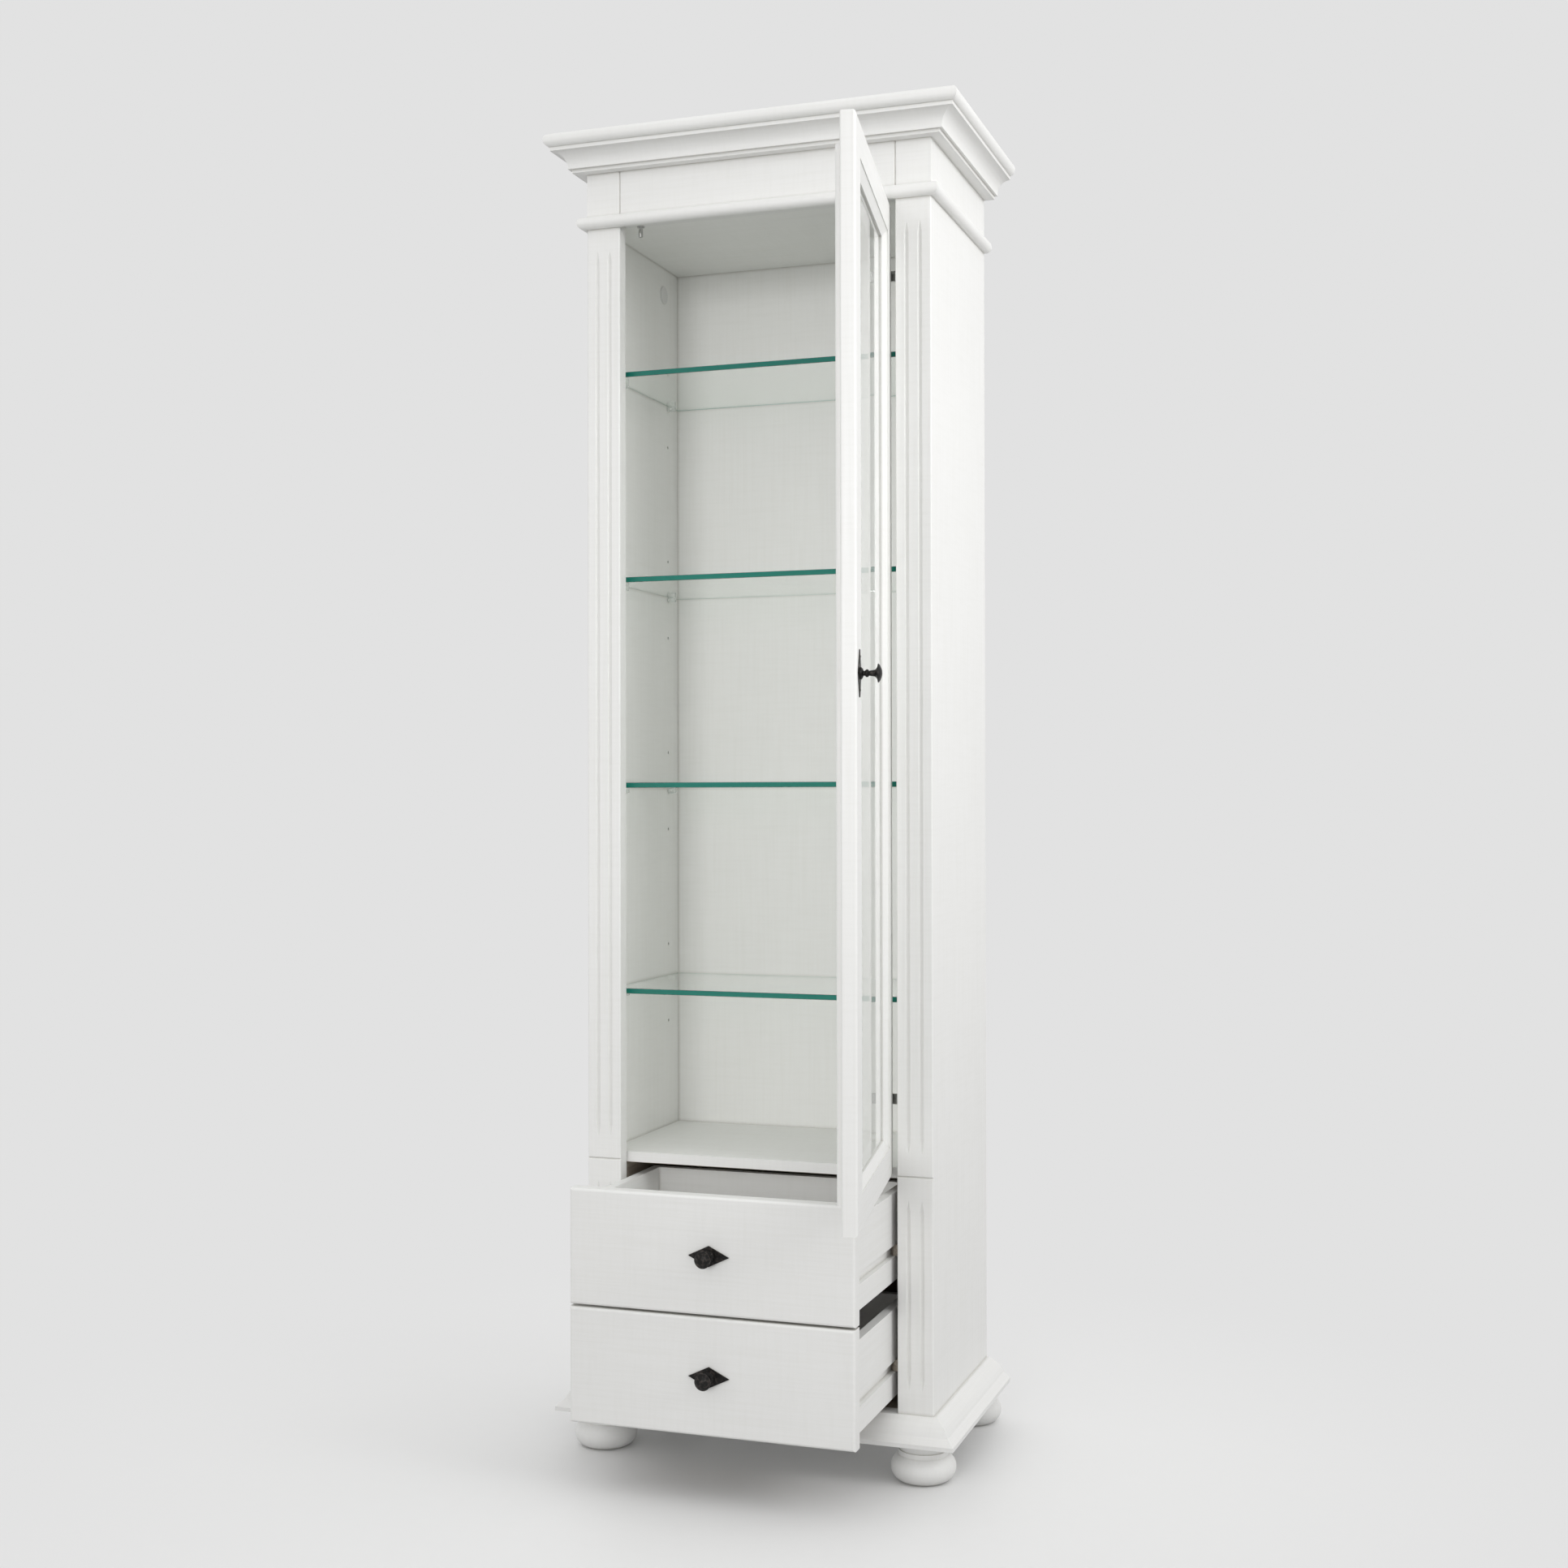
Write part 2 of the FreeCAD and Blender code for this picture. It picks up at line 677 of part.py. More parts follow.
def build_small_fittings():
    """Cover caps inside the sides and the door stop under the top panel."""
    caps = []
    for hand, side in (("left", -1), ("right", 1)):
        inward = Rotation(Vector(0, 1, 0), -90 * side)
        place_args = (side * SIDE_INNER, BACK_FACE - S.cap_inset, CEILING - S.cap_drop, inward)
        caps.append(rod(f"cap_{hand}", S.cap_radius, S.cap_thickness, *place_args))
    node(group("cover_caps_group", caps), "cover_caps")
    outline = [
        (0, 0),
        (S.stop_radius, 0),
        (S.stop_radius, S.stop_length - S.stop_flange_thickness),
        (S.stop_radius + S.stop_flange_width, S.stop_length - S.stop_flange_thickness),
        (S.stop_radius + S.stop_flange_width, S.stop_length),
        (0, S.stop_length),
    ]
    stop = turned("door_stop_body", outline)
    stop_y = S.front_thickness + S.stop_gap + S.stop_radius
    place(stop, S.stop_offset - HALF_FRONT, stop_y, CEILING - S.stop_length)
    node(stop, "door_stop_pin")


def mitred_frame(name, corners, inset, depth):
    """Make four mitred members of a frame set in from the door's edges, keyed by place."""
    width = 2 * HALF_FRONT - 2 * inset
    height = DOOR_TOP - DOOR_BOTTOM - 2 * inset
    left, right = inset - HALF_FRONT, HALF_FRONT - inset
    bottom, top = DOOR_BOTTOM + inset, DOOR_TOP - inset
    reach = S.member_width - inset
    x_axis, y_axis, z_axis = Vector(1, 0, 0), Vector(0, 1, 0), Vector(0, 0, 1)
    members = {
        "hinge": (height, right, bottom, -x_axis, z_axis),
        "free": (height, left, top, x_axis, -z_axis),
        "top": (width, right, top, -z_axis, -x_axis),
        "bottom": (width, left, bottom, z_axis, x_axis),
    }
    bodies = {}
    for key, (length, x, z, inward, along) in members.items():
        first = [(0, 0), (reach, 0), (reach, reach)]
        last = [(0, length), (reach, length - reach), (reach, length)]
        body = run(f"{name}_{key}_body", corners, length, [first, last])
        bodies[key] = place(body, x, depth, z, Rotation(inward, along, y_axis, "XYZ"))
    return bodies


def build_door():
    """Glazed door, made closed and swung open about the hinge line."""
    member = [
        (S.quirk_inset, 0),
        (S.quirk_inset, S.quirk_depth),
        (S.member_width, S.glass_depth - S.rebate_lip),
        (S.member_width, S.glass_depth),
        (S.member_width - S.rebate_width, S.glass_depth),
        (S.member_width - S.rebate_width, S.front_thickness),
        (S.back_edge_round, S.front_thickness),
        (0, S.front_thickness - S.back_edge_round, S.back_edge_round, 1),
        (0, S.front_round),
        (S.front_round, 0, S.front_round, 1),
    ]
    frame = mitred_frame("door_member", member, formula(0), 0)
    mortises = []
    for hinge in HINGES:
        level = hinge_level(hinge)
        x = (PIVOT_X - S.cup_reach, HALF_FRONT + S.cup_floor_thickness)
        y = (S.cup_floor_depth, S.front_thickness + S.wing_thickness)
        z = (level - CUP_HALF_HEIGHT, level + CUP_HALF_HEIGHT)
        mortises.append(board(f"mortise_{hinge}", x, y, z))
    swing("door_stile_hinge", [cut("door_stile_mortised", frame["hinge"], mortises)])
    swing("door_stile_free", [frame["free"]])
    swing("door_rail_top", [frame["top"]])
    swing("door_rail_bottom", [frame["bottom"]])
    glass_inset = S.member_width - S.rebate_width + S.glass_edge_gap
    half_glass = HALF_FRONT - glass_inset
    glass_height = (DOOR_BOTTOM + glass_inset, DOOR_TOP - glass_inset)
    pane = board("door_pane", (-half_glass, half_glass), (S.glass_depth, GLASS_BACK), glass_height)
    swing("door_glass", [pane])
    bead_width = S.member_width - S.bead_inset
    tongue_edge = bead_width - S.rebate_width + S.bead_tongue_gap
    tongue_height = S.front_thickness - GLASS_BACK
    bead_height = tongue_height + S.bead_thickness
    bead = [
        (bead_width, 0),
        (bead_width, bead_height - S.bead_round),
        (bead_width - S.bead_round, bead_height, S.bead_round, 1),
        (S.bead_round, bead_height),
        (0, bead_height - S.bead_round, S.bead_round, 1),
        (0, tongue_height),
        (tongue_edge, tongue_height),
        (tongue_edge, 0),
    ]
    beads = mitred_frame("bead", bead, S.bead_inset, GLASS_BACK)
    swing("glazing_beads_upright", [beads["hinge"], beads["free"]])
    swing("glazing_beads_level", [beads["top"], beads["bottom"]])
    plate, knob = knob_set("door")
    knob_x = S.quirk_inset / 2 - HALF_FRONT
    knob_z = (DOOR_BOTTOM + DOOR_TOP) / 2
    upright = Rotation(Vector(0, 0, 1), Vector(-1, 0, 0), Vector(0, -1, 0), "XYZ")
    swing("door_knob_plate", [place(plate, knob_x, 0, knob_z, upright)])
    swing("door_knob", [place(knob, knob_x, -S.plate_thickness, knob_z, upright)])


def hinge_level(hinge):
    return DOOR_BOTTOM + S.lower_hinge_rise if hinge == "lower" else DOOR_TOP - S.upper_hinge_drop


def build_hinges():
    """Pivot hinges: cup and pin in the door, arm and plate on the right-hand side."""
    cups, pins, arms, plates = [], [], [], []
    for hinge in HINGES:
        level = hinge_level(hinge)
        cups.append(hinge_cup(hinge, level))
        pin_base = level - CUP_HALF_HEIGHT
        pins.append(rod(f"pin_{hinge}", S.hinge_pin_radius, 2 * CUP_HALF_HEIGHT, PIVOT_X, PIVOT_Y, pin_base))
        arms.append(hinge_arm(hinge, level))
        x = (SIDE_INNER - S.hinge_plate_thickness, SIDE_INNER)
        plate_start = ARM_REAR + S.arm_thickness
        y = (plate_start, plate_start + S.hinge_plate_length)
        z = (level - S.hinge_plate_height / 2, level + S.hinge_plate_height / 2)
        plates.append(board(f"hinge_plate_{hinge}", x, y, z))
    swing("hinge_cups", cups)
    swing("hinge_pins", pins)
    node(group("hinge_arms_group", arms), "hinge_arms")
    node(group("hinge_plates_group", plates), "hinge_plates")


def hinge_cup(hinge, level):
    """Steel cup let into the stile: floor, two cheeks bored for the pin, and two wings."""
    inner = PIVOT_X - S.cup_reach
    outer = HALF_FRONT - S.back_edge_round
    face = S.front_thickness + S.wing_thickness
    bottom, top = level - CUP_HALF_HEIGHT, level + CUP_HALF_HEIGHT
    floor_depth = (S.cup_floor_depth, S.cup_floor_depth + S.cup_floor_thickness)
    pieces = [board(f"cup_floor_{hinge}", (inner, outer), floor_depth, (bottom, top))]
    wing_width = (inner, HALF_FRONT - S.wing_end_gap)
    wing_depth = (S.front_thickness, face)
    heights = {
        "low": ((bottom, bottom + S.cheek_thickness), (bottom - S.wing_length, bottom)),
        "high": ((top - S.cheek_thickness, top), (top, top + S.wing_length)),
    }
    for key, (cheek_height, wing_height) in heights.items():
        pieces.append(board(f"cheek_{hinge}_{key}", wing_width, (S.cup_floor_depth, face), cheek_height))
        pieces.append(board(f"wing_{hinge}_{key}", wing_width, wing_depth, wing_height))
    bore = rod(f"cup_bore_{hinge}", S.hinge_pin_radius, 2 * CUP_HALF_HEIGHT, PIVOT_X, PIVOT_Y, bottom)
    return cut(f"cup_{hinge}", fuse(f"cup_{hinge}_blank", pieces), [bore])


def hinge_arm(hinge, level):
    """Cranked arm: eye round the pin, leaning shank, cross bar and foot on the hinge plate."""
    bottom = level - S.arm_height / 2
    height = (bottom, bottom + S.arm_height)
    bore_radius = S.hinge_pin_radius + S.hinge_pin_clearance
    eye = rod(f"arm_eye_{hinge}", bore_radius + S.arm_eye_wall, S.arm_height, PIVOT_X, PIVOT_Y, bottom)
    lean_cos, lean_sin = cosine(S.arm_lean), sine(S.arm_lean)
    reach = (ARM_REAR - S.arm_thickness / 2 - PIVOT_Y) / lean_cos
    shank = DOC.addObject("Part::Box", f"arm_shank_{hinge}")
    bind(shank, "Length", S.arm_thickness)
    bind(shank, "Width", reach)
    bind(shank, "Height", S.arm_height)
    shank.Placement = Placement(Vector(), Rotation(Vector(0, 0, 1), 1))
    bind(shank, "Placement.Rotation.Angle", S.arm_lean)
    bind(shank, "Placement.Base.x", PIVOT_X - S.arm_thickness / 2 * lean_cos)
    bind(shank, "Placement.Base.y", PIVOT_Y - S.arm_thickness / 2 * lean_sin)
    bind(shank, "Placement.Base.z", bottom)
    elbow_x = PIVOT_X - reach * lean_sin - S.arm_thickness / 2
    foot_face = SIDE_INNER - S.hinge_plate_thickness
    bar_depth = (ARM_REAR - S.arm_thickness, ARM_REAR)
    bar = board(f"arm_bar_{hinge}", (elbow_x, foot_face), bar_depth, height)
    foot_width = (foot_face - S.arm_foot_thickness, foot_face)
    foot_depth = (bar_depth[0], bar_depth[0] + S.arm_foot_length)
    foot = board(f"arm_foot_{hinge}", foot_width, foot_depth, height)
    bore = rod(f"arm_bore_{hinge}", bore_radius, S.arm_height, PIVOT_X, PIVOT_Y, bottom)
    return cut(f"arm_{hinge}", fuse(f"arm_{hinge}_blank", [eye, shank, bar, foot]), [bore])


def knob_set(name):
    """Return a diamond back plate and a turned knob, both standing along local Z."""
    plate = DOC.addObject("PartDesign::Body", f"{name}_plate_body")
    pad = plate.newObject("PartDesign::Pad", f"{name}_plate_pad")
    half_length, half_width = S.plate_length / 2, S.plate_width / 2
    diamond = [(half_length, 0), (0, half_width), (-half_length, 0), (0, -half_width)]
    pad.Profile = draw(plate, "XY_Plane", f"{name}_plate_outline", diamond)
    bind(pad, "Length", S.plate_thickness)
    ring_bottom = S.knob_base_height + S.knob_neck_length
    ring_top = ring_bottom + S.knob_ring_length
    stem_top = ring_top + S.knob_stem_length
    stem_radius = S.knob_neck_radius + S.knob_stem_flare
    rim_bottom = stem_top + S.knob_flare_height
    rim_top = rim_bottom + S.knob_rim_height
    dome_square = S.knob_head_radius * S.knob_head_radius + S.knob_dome_height * S.knob_dome_height
    dome_radius = dome_square / (2 * S.knob_dome_height)
    outline = [
        (0, 0),
        (S.knob_base_radius, 0),
        (S.knob_base_radius, S.knob_base_edge),
        (S.knob_neck_radius, S.knob_base_height, S.knob_base_radius, 1),
        (S.knob_neck_radius, ring_bottom),
        (S.knob_neck_radius, ring_top, S.knob_ring_length * KNOB_RING_SHARE, 1),
        (stem_radius, stem_top),
        (S.knob_head_radius, rim_bottom, S.knob_flare_height * KNOB_FLARE_SHARE, -1),
        (S.knob_head_radius, rim_top),
        (0, rim_top + S.knob_dome_height, dome_radius, 1),
    ]
    return plate, turned(f"{name}_knob_body", outline)


def build_runners():
    """Wooden runners on liners at both sides of the drawer space."""
    liners, runners = [], []
    runner_start = S.front_layer
    runner_end = BACK_FACE - S.runner_end_gap
    inner = BOX_HALF_WIDTH - S.slide_groove_depth + S.runner_side_gap
    width, length, nose = LINER_FACE - inner, runner_end - runner_start, S.runner_nose
    left_outline = [(0, 0), (width - nose, 0), (width, nose), (width, length), (0, length)]
    right_outline = [(nose, 0), (width, 0), (width, length), (0, length), (0, nose)]
    for hand, side in (("left", -1), ("right", 1)):
        liner_low = LINER_FACE if side > 0 else -SIDE_INNER
        liner_width = (liner_low, liner_low + SIDE_INNER - LINER_FACE)
        liner_depth = (S.front_layer, BACK_FACE)
        liner_height = (FLOOR_PANEL_TOP, SHELF_BOTTOM)
        liners.append(board(f"liner_{hand}", liner_width, liner_depth, liner_height))
        for index, drawer in enumerate(DRAWERS):
            centre = drawer_base(index) + S.box_rise + S.slide_groove_rise
            low = centre - S.runner_height / 2
            x = inner if side > 0 else -LINER_FACE
            outline = right_outline if side > 0 else left_outline
            body = DOC.addObject("PartDesign::Body", f"runner_{hand}_{drawer}")
            pad = body.newObject("PartDesign::Pad", f"runner_{hand}_{drawer}_pad")
            pad.Profile = draw(body, "XY_Plane", f"runner_{hand}_{drawer}_outline", outline)
            bind(pad, "Length", S.runner_height)
            runners.append(place(body, x, runner_start, low))
    node(group("drawer_liners_group", liners), "drawer_liners")
    node(group("drawer_runners_group", runners), "drawer_runners")


def drawer_base(index):
    """Return the height of a drawer front's lower edge, counted from the bottom."""
    return DRAWER_BOTTOM + index * (DRAWER_FRONT_HEIGHT + S.drawer_front_gap)


def build_drawer(index, name):
    """Drawer made closed and pulled out."""
    base = drawer_base(index)
    front = slab(f"{name}_front_body", 2 * HALF_FRONT, DRAWER_FRONT_HEIGHT, S.front_thickness)

    def face_edge(middle, direction):
        return middle.z > S.front_thickness.value - 1 and abs(direction.z) < 0.5

    round_edges(front, S.front_round, face_edge)
    outward = Rotation(Vector(1, 0, 0), 90)
    pull(f"{name}_front", [place(front, -HALF_FRONT, S.front_thickness, base, outward)])
    bottom = base + S.box_rise
    top = base + DRAWER_FRONT_HEIGHT - S.box_top_drop
    box_end = BACK_FACE - S.box_back_gap
    depth = (S.front_thickness, box_end)
    inside = BOX_HALF_WIDTH - S.box_side_thickness
    panel_low = bottom + S.box_bottom_rise
    panel_height = (panel_low, panel_low + S.box_bottom_thickness)
    lodge = inside + S.box_bottom_lodge
    half_groove = S.runner_height / 2 + S.runner_clearance
    groove_middle = bottom + S.slide_groove_rise
    groove_height = (groove_middle - half_groove, groove_middle + half_groove)
    groove_inner = BOX_HALF_WIDTH - S.slide_groove_depth
    sides = []
    for hand, side in (("left", -1), ("right", 1)):
        width = (-BOX_HALF_WIDTH, -inside) if side < 0 else (inside, BOX_HALF_WIDTH)
        slide_width = (-BOX_HALF_WIDTH, -groove_inner) if side < 0 else (groove_inner, BOX_HALF_WIDTH)
        lodge_width = (-lodge, -inside) if side < 0 else (inside, lodge)
        label = f"{name}_side_{hand}"
        blank = board(f"{label}_blank", width, depth, (bottom, top))
        slide = board(f"{label}_slide_groove", slide_width, depth, groove_height)
        lodging = board(f"{label}_bottom_groove", lodge_width, depth, panel_height)
        sides.append(cut(label, blank, [slide, lodging]))
    pull(f"{name}_sides", sides)
    back_depth = (box_end - S.box_back_thickness, box_end)
    pull(f"{name}_back", [board(f"{name}_back_board", (-inside, inside), back_depth, (panel_height[1], top))])
    pull(f"{name}_bottom", [board(f"{name}_bottom_board", (-lodge, lodge), depth, panel_height)])
    plate, knob = knob_set(name)
    middle = base + DRAWER_FRONT_HEIGHT / 2
    pull(f"{name}_knob_plate", [place(plate, 0, 0, middle, outward)])
    pull(f"{name}_knob", [place(knob, 0, -S.plate_thickness, middle, outward)])


def export():
    """Check every item and write one STEP file for each finished piece."""
    DOC.recompute()
    for item in DOC.Objects:
        if "Invalid" in item.State or "Error" in item.State:
            raise RuntimeError(f"{item.Label} is not sound: {item.State}")
    os.makedirs(OUTPUT, exist_ok=True)
    for item in NODES:
        shape = item.Shape
        if shape.isNull() or not shape.isValid():
            raise RuntimeError(f"{item.Label} has no valid shape")
        shape.exportStep(os.path.join(OUTPUT, f"{item.Label}.step"))
        limits = shape.BoundBox
        low = ", ".join(f"{value:.1f}" for value in (limits.XMin, limits.YMin, limits.ZMin))
        high = ", ".join(f"{value:.1f}" for value in (limits.XMax, limits.YMax, limits.ZMax))
        print(f"{item.Label}: {len(shape.Solids)} solids, {low} to {high}, {shape.Volume / 1000:.1f} cm3")


build_case()
build_pilasters()
build_mouldings()
build_feet()
build_shelves()
build_small_fittings()
build_door()
build_hinges()
build_runners()
for drawer_index, drawer_name in enumerate(DRAWERS):
    build_drawer(drawer_index, f"{drawer_name}_drawer")
export()
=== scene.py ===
"""Dress, detail and light the white display cabinet with its glazed door, glass shelves and drawers."""

import logging
import math
from abc import ABC, abstractmethod
from dataclasses import dataclass, field
from enum import Enum
from typing import Callable, Iterable, Protocol

import bpy
from mathutils import Matrix, Vector


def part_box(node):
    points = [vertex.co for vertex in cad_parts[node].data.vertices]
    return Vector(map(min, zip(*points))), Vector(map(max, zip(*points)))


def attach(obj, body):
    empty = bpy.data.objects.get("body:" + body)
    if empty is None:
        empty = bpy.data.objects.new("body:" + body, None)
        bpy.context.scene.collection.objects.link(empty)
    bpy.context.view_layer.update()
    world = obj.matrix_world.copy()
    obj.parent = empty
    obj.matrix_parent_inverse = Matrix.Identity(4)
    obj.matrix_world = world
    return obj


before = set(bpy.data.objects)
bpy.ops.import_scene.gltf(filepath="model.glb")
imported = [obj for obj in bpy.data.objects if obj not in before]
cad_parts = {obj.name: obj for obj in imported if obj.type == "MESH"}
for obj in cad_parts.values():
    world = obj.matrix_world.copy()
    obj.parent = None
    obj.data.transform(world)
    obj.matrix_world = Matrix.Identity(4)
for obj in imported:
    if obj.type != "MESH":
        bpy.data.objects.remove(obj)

Colour = tuple[float, float, float]
Point = tuple[float, float, float]
Band = tuple[float, float]
Socket = bpy.types.NodeSocket
Piece = bpy.types.Object

LOG = logging.getLogger("display_cabinet")
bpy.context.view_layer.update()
MM = 0.001
FLAT = 0.99
MERGE_DISTANCE = 1e-6
SMOOTH_ANGLE = math.radians(35)
GLASS_IOR = 1.5
NOISE_LOW, NOISE_HIGH = 0.3, 0.7
MIX_FIRST, MIX_SECOND, MIX_RESULT = 6, 7, 2
LIGHT_RAYS = ("Is Shadow Ray", "Is Diffuse Ray")
SEEN_RAYS = ("Is Camera Ray", "Is Glossy Ray", "Is Transmission Ray")
HINGE_LEVELS = (547.0 * MM, 1757.0 * MM)
# dark bare-board tone: painted shade inside the drawer space; under the drawers, partly bare hardboard and
# partly painted shade
BARE_BOARD_AND_SHADE: Colour = (0.36, 0.32, 0.27)
# painted light: lifts the paint colour inside the display space
DISPLAY_LIGHT_LIFT: Colour = (1.052, 1.052, 1.046)


class Grain(Enum):
    """Axis along which the grain of a board runs."""

    ALONG_X = 0
    ALONG_Y = 1
    ALONG_Z = 2


class Body(Enum):
    """Moving and fixed bodies of the cabinet."""

    CABINET = "cabinet"
    DOOR = "door"
    LOWER_DRAWER = "lower_drawer"
    UPPER_DRAWER = "upper_drawer"


class Slot(Enum):
    """Finish slots of the record for the added fittings; this script does not assign them."""

    BLACK_IRON = "black_iron"
    HINGE_STEEL = "hinge_steel"
    STOP_STEEL = "stop_steel"


def even(repeats: float) -> Point:
    """The same number of repeats along each axis."""
    return (repeats, repeats, repeats)


def any_ray(tree: bpy.types.NodeTree, kinds: tuple[str, ...]) -> Socket:
    """Say whether a ray is of one of several kinds.

    Args:
        tree: node tree that gets the nodes.
        kinds: names of the light path's outputs.

    Returns:
        A socket that is 1 for those rays and 0 for others.
    """
    path = tree.nodes.new("ShaderNodeLightPath")
    total = path.outputs[kinds[0]]
    for kind in kinds[1:]:
        either = tree.nodes.new("ShaderNodeMath")
        either.operation = "MAXIMUM"
        tree.links.new(total, either.inputs[0])
        tree.links.new(path.outputs[kind], either.inputs[1])
        total = either.outputs["Value"]
    return total


class Graph:
    """Node tree of one material, with short calls to add, fill and join nodes."""

    def __init__(self, name: str) -> None:
        """Start an empty material.

        Args:
            name: name of the material.
        """
        self.material = bpy.data.materials.new(name)
        self.material.use_nodes = True
        self.tree = self.material.node_tree
        self.tree.nodes.clear()
        self.output = self.add("ShaderNodeOutputMaterial")

    def add(self, kind: str, inputs: dict | None = None, **settings: object) -> bpy.types.Node:
        """Add a node.

        Args:
            kind: Blender's name of the node type.
            inputs: socket values by socket name or number.
            settings: attributes of the node itself.

        Returns:
            The new node.
        """
        node = self.tree.nodes.new(kind)
        for key, value in settings.items():
            setattr(node, key, value)
        for key, value in (inputs or {}).items():
            node.inputs[key].default_value = value
        return node

    def join(self, source: Socket, target: Socket) -> None:
        """Link an output socket to an input socket."""
        self.tree.links.new(source, target)

    def place(self, scale: Point, turn: float = 0.0, shift: Point = (0.0, 0.0, 0.0)) -> Socket:
        """Object coordinates, turned about the vertical and then scaled.

        Args:
            scale: repeats per metre along each axis of the turned piece.
            turn: angle of the piece about Z at rest, in radians.
            shift: offset of the pattern.

        Returns:
            The vector socket.
        """
        coordinates = self.add("ShaderNodeTexCoord")
        turned = self.add("ShaderNodeMapping", {"Rotation": (0.0, 0.0, -turn)})
        scaled = self.add("ShaderNodeMapping", {"Scale": scale, "Location": shift})
        self.join(coordinates.outputs["Object"], turned.inputs["Vector"])
        self.join(turned.outputs["Vector"], scaled.inputs["Vector"])
        return scaled.outputs["Vector"]

    def noise(self, vector: Socket, detail: float = 2.0, roughness: float = 0.5) -> Socket:
        """Noise in the units of the mapped vector.

        Args:
            vector: where the noise is read.
            detail: octaves of finer noise.
            roughness: strength of each finer octave.

        Returns:
            The factor socket.
        """
        node = self.add("ShaderNodeTexNoise", {"Scale": 1.0, "Detail": detail, "Roughness": roughness})
        self.join(vector, node.inputs["Vector"])
        return node.outputs["Fac"]

    def span(
        self, value: Socket, low: float, high: float, to_low: float = 0.0, to_high: float = 1.0
    ) -> Socket:
        """Map a value from one range to another, held at the ends.

        Args:
            value: socket to read.
            low: start of the range read.
            high: end of the range read.
            to_low: what the start becomes.
            to_high: what the end becomes.

        Returns:
            The mapped socket.
        """
        limits = {"From Min": low, "From Max": high, "To Min": to_low, "To Max": to_high}
        node = self.add("ShaderNodeMapRange", limits, clamp=True)
        self.join(value, node.inputs["Value"])
        return node.outputs["Result"]

    def vary(self, noise: Socket, low: float, high: float) -> Socket:
        """Map the usual reach of a noise to a range."""
        return self.span(noise, NOISE_LOW, NOISE_HIGH, low, high)

    def blend(self, factor: Socket, first: Colour, second: Colour) -> Socket:
        """Blend two colours by a varying factor.

        Args:
            factor: 0 for the first colour, 1 for the second.
            first: linear colour.
            second: linear colour.

        Returns:
            The colour socket.
        """
        node = self.add("ShaderNodeMix", data_type="RGBA")
        node.inputs[MIX_FIRST].default_value = (*first, 1.0)
        node.inputs[MIX_SECOND].default_value = (*second, 1.0)
        self.join(factor, node.inputs["Factor"])
        return node.outputs[MIX_RESULT]

    def tint(self, base: Socket, factor: Socket, shade: Colour) -> Socket:
        """Multiply a colour by a shade where the factor is high.

        Args:
            base: colour socket.
            factor: strength of the shade, 0 to 1.
            shade: colour that multiplies the base at factor 1.

        Returns:
            The colour socket.
        """
        node = self.add("ShaderNodeMix", data_type="RGBA", blend_type="MULTIPLY")
        node.inputs[MIX_SECOND].default_value = (*shade, 1.0)
        self.join(base, node.inputs[MIX_FIRST])
        self.join(factor, node.inputs["Factor"])
        return node.outputs[MIX_RESULT]

    def sum(self, first: Socket, second: Socket, share: float) -> Socket:
        """Add a share of the second value to the first.

        Args:
            first: value socket.
            second: value socket.
            share: factor of the second value.

        Returns:
            The sum's socket.
        """
        node = self.add("ShaderNodeMath", {1: share}, operation="MULTIPLY_ADD")
        self.join(second, node.inputs[0])
        self.join(first, node.inputs[2])
        return node.outputs["Value"]

    def relief(self, height: Socket, depth: float, strength: float) -> Socket:
        """Turn a height into a disturbed normal.

        Args:
            height: value socket, 0 to 1.
            depth: relief in metres.
            strength: share of the relief that is used.

        Returns:
            The normal socket.
        """
        node = self.add("ShaderNodeBump", {"Distance": depth, "Strength": strength})
        self.join(height, node.inputs["Height"])
        return node.outputs["Normal"]

    def surface(self, values: dict, links: dict) -> bpy.types.Node:
        """Add the shader and show it.

        Args:
            values: constants set on the shader's own sockets.
            links: varying sockets by the shader's socket name.

        Returns:
            The shader node.
        """
        shader = self.add("ShaderNodeBsdfPrincipled", values)
        for key, source in links.items():
            self.join(source, shader.inputs[key])
        self.join(shader.outputs["BSDF"], self.output.inputs["Surface"])
        return shader

    def show_mix(self, factor: Socket, first: Socket, second: Socket) -> None:
        """Show a mix of two shaders.

        Args:
            factor: 0 for the first shader, 1 for the second.
            first: shader socket.
            second: shader socket.
        """
        mix = self.add("ShaderNodeMixShader")
        for source, target in zip((factor, first, second), mix.inputs):
            self.join(source, target)
        self.join(mix.outputs["Shader"], self.output.inputs["Surface"])

    def pass_light(self, shader: bpy.types.Node, tint: Colour) -> None:
        """Let lamp light through a clear piece, tinted.

        Args:
            shader: the clear shader.
            tint: share of the light that passes.
        """
        clear = self.add("ShaderNodeBsdfTransparent", {"Color": (*tint, 1.0)})
        self.show_mix(any_ray(self.tree, LIGHT_RAYS), shader.outputs["BSDF"], clear.outputs["BSDF"])


class Finish(ABC):
    """Finish of a piece, with one material for each name."""

    name: str

    @abstractmethod
    def lay(self, graph: Graph) -> None:
        """Lay the nodes of the finish in an empty graph.

        Args:
            graph: empty node tree of the material.
        """

    def material(self) -> bpy.types.Material:
        """Return the material, made at the first call.

        Returns:
            The material of this finish's name.
        """
        if self.name not in bpy.data.materials:
            self.lay(Graph(self.name))
        return bpy.data.materials[self.name]


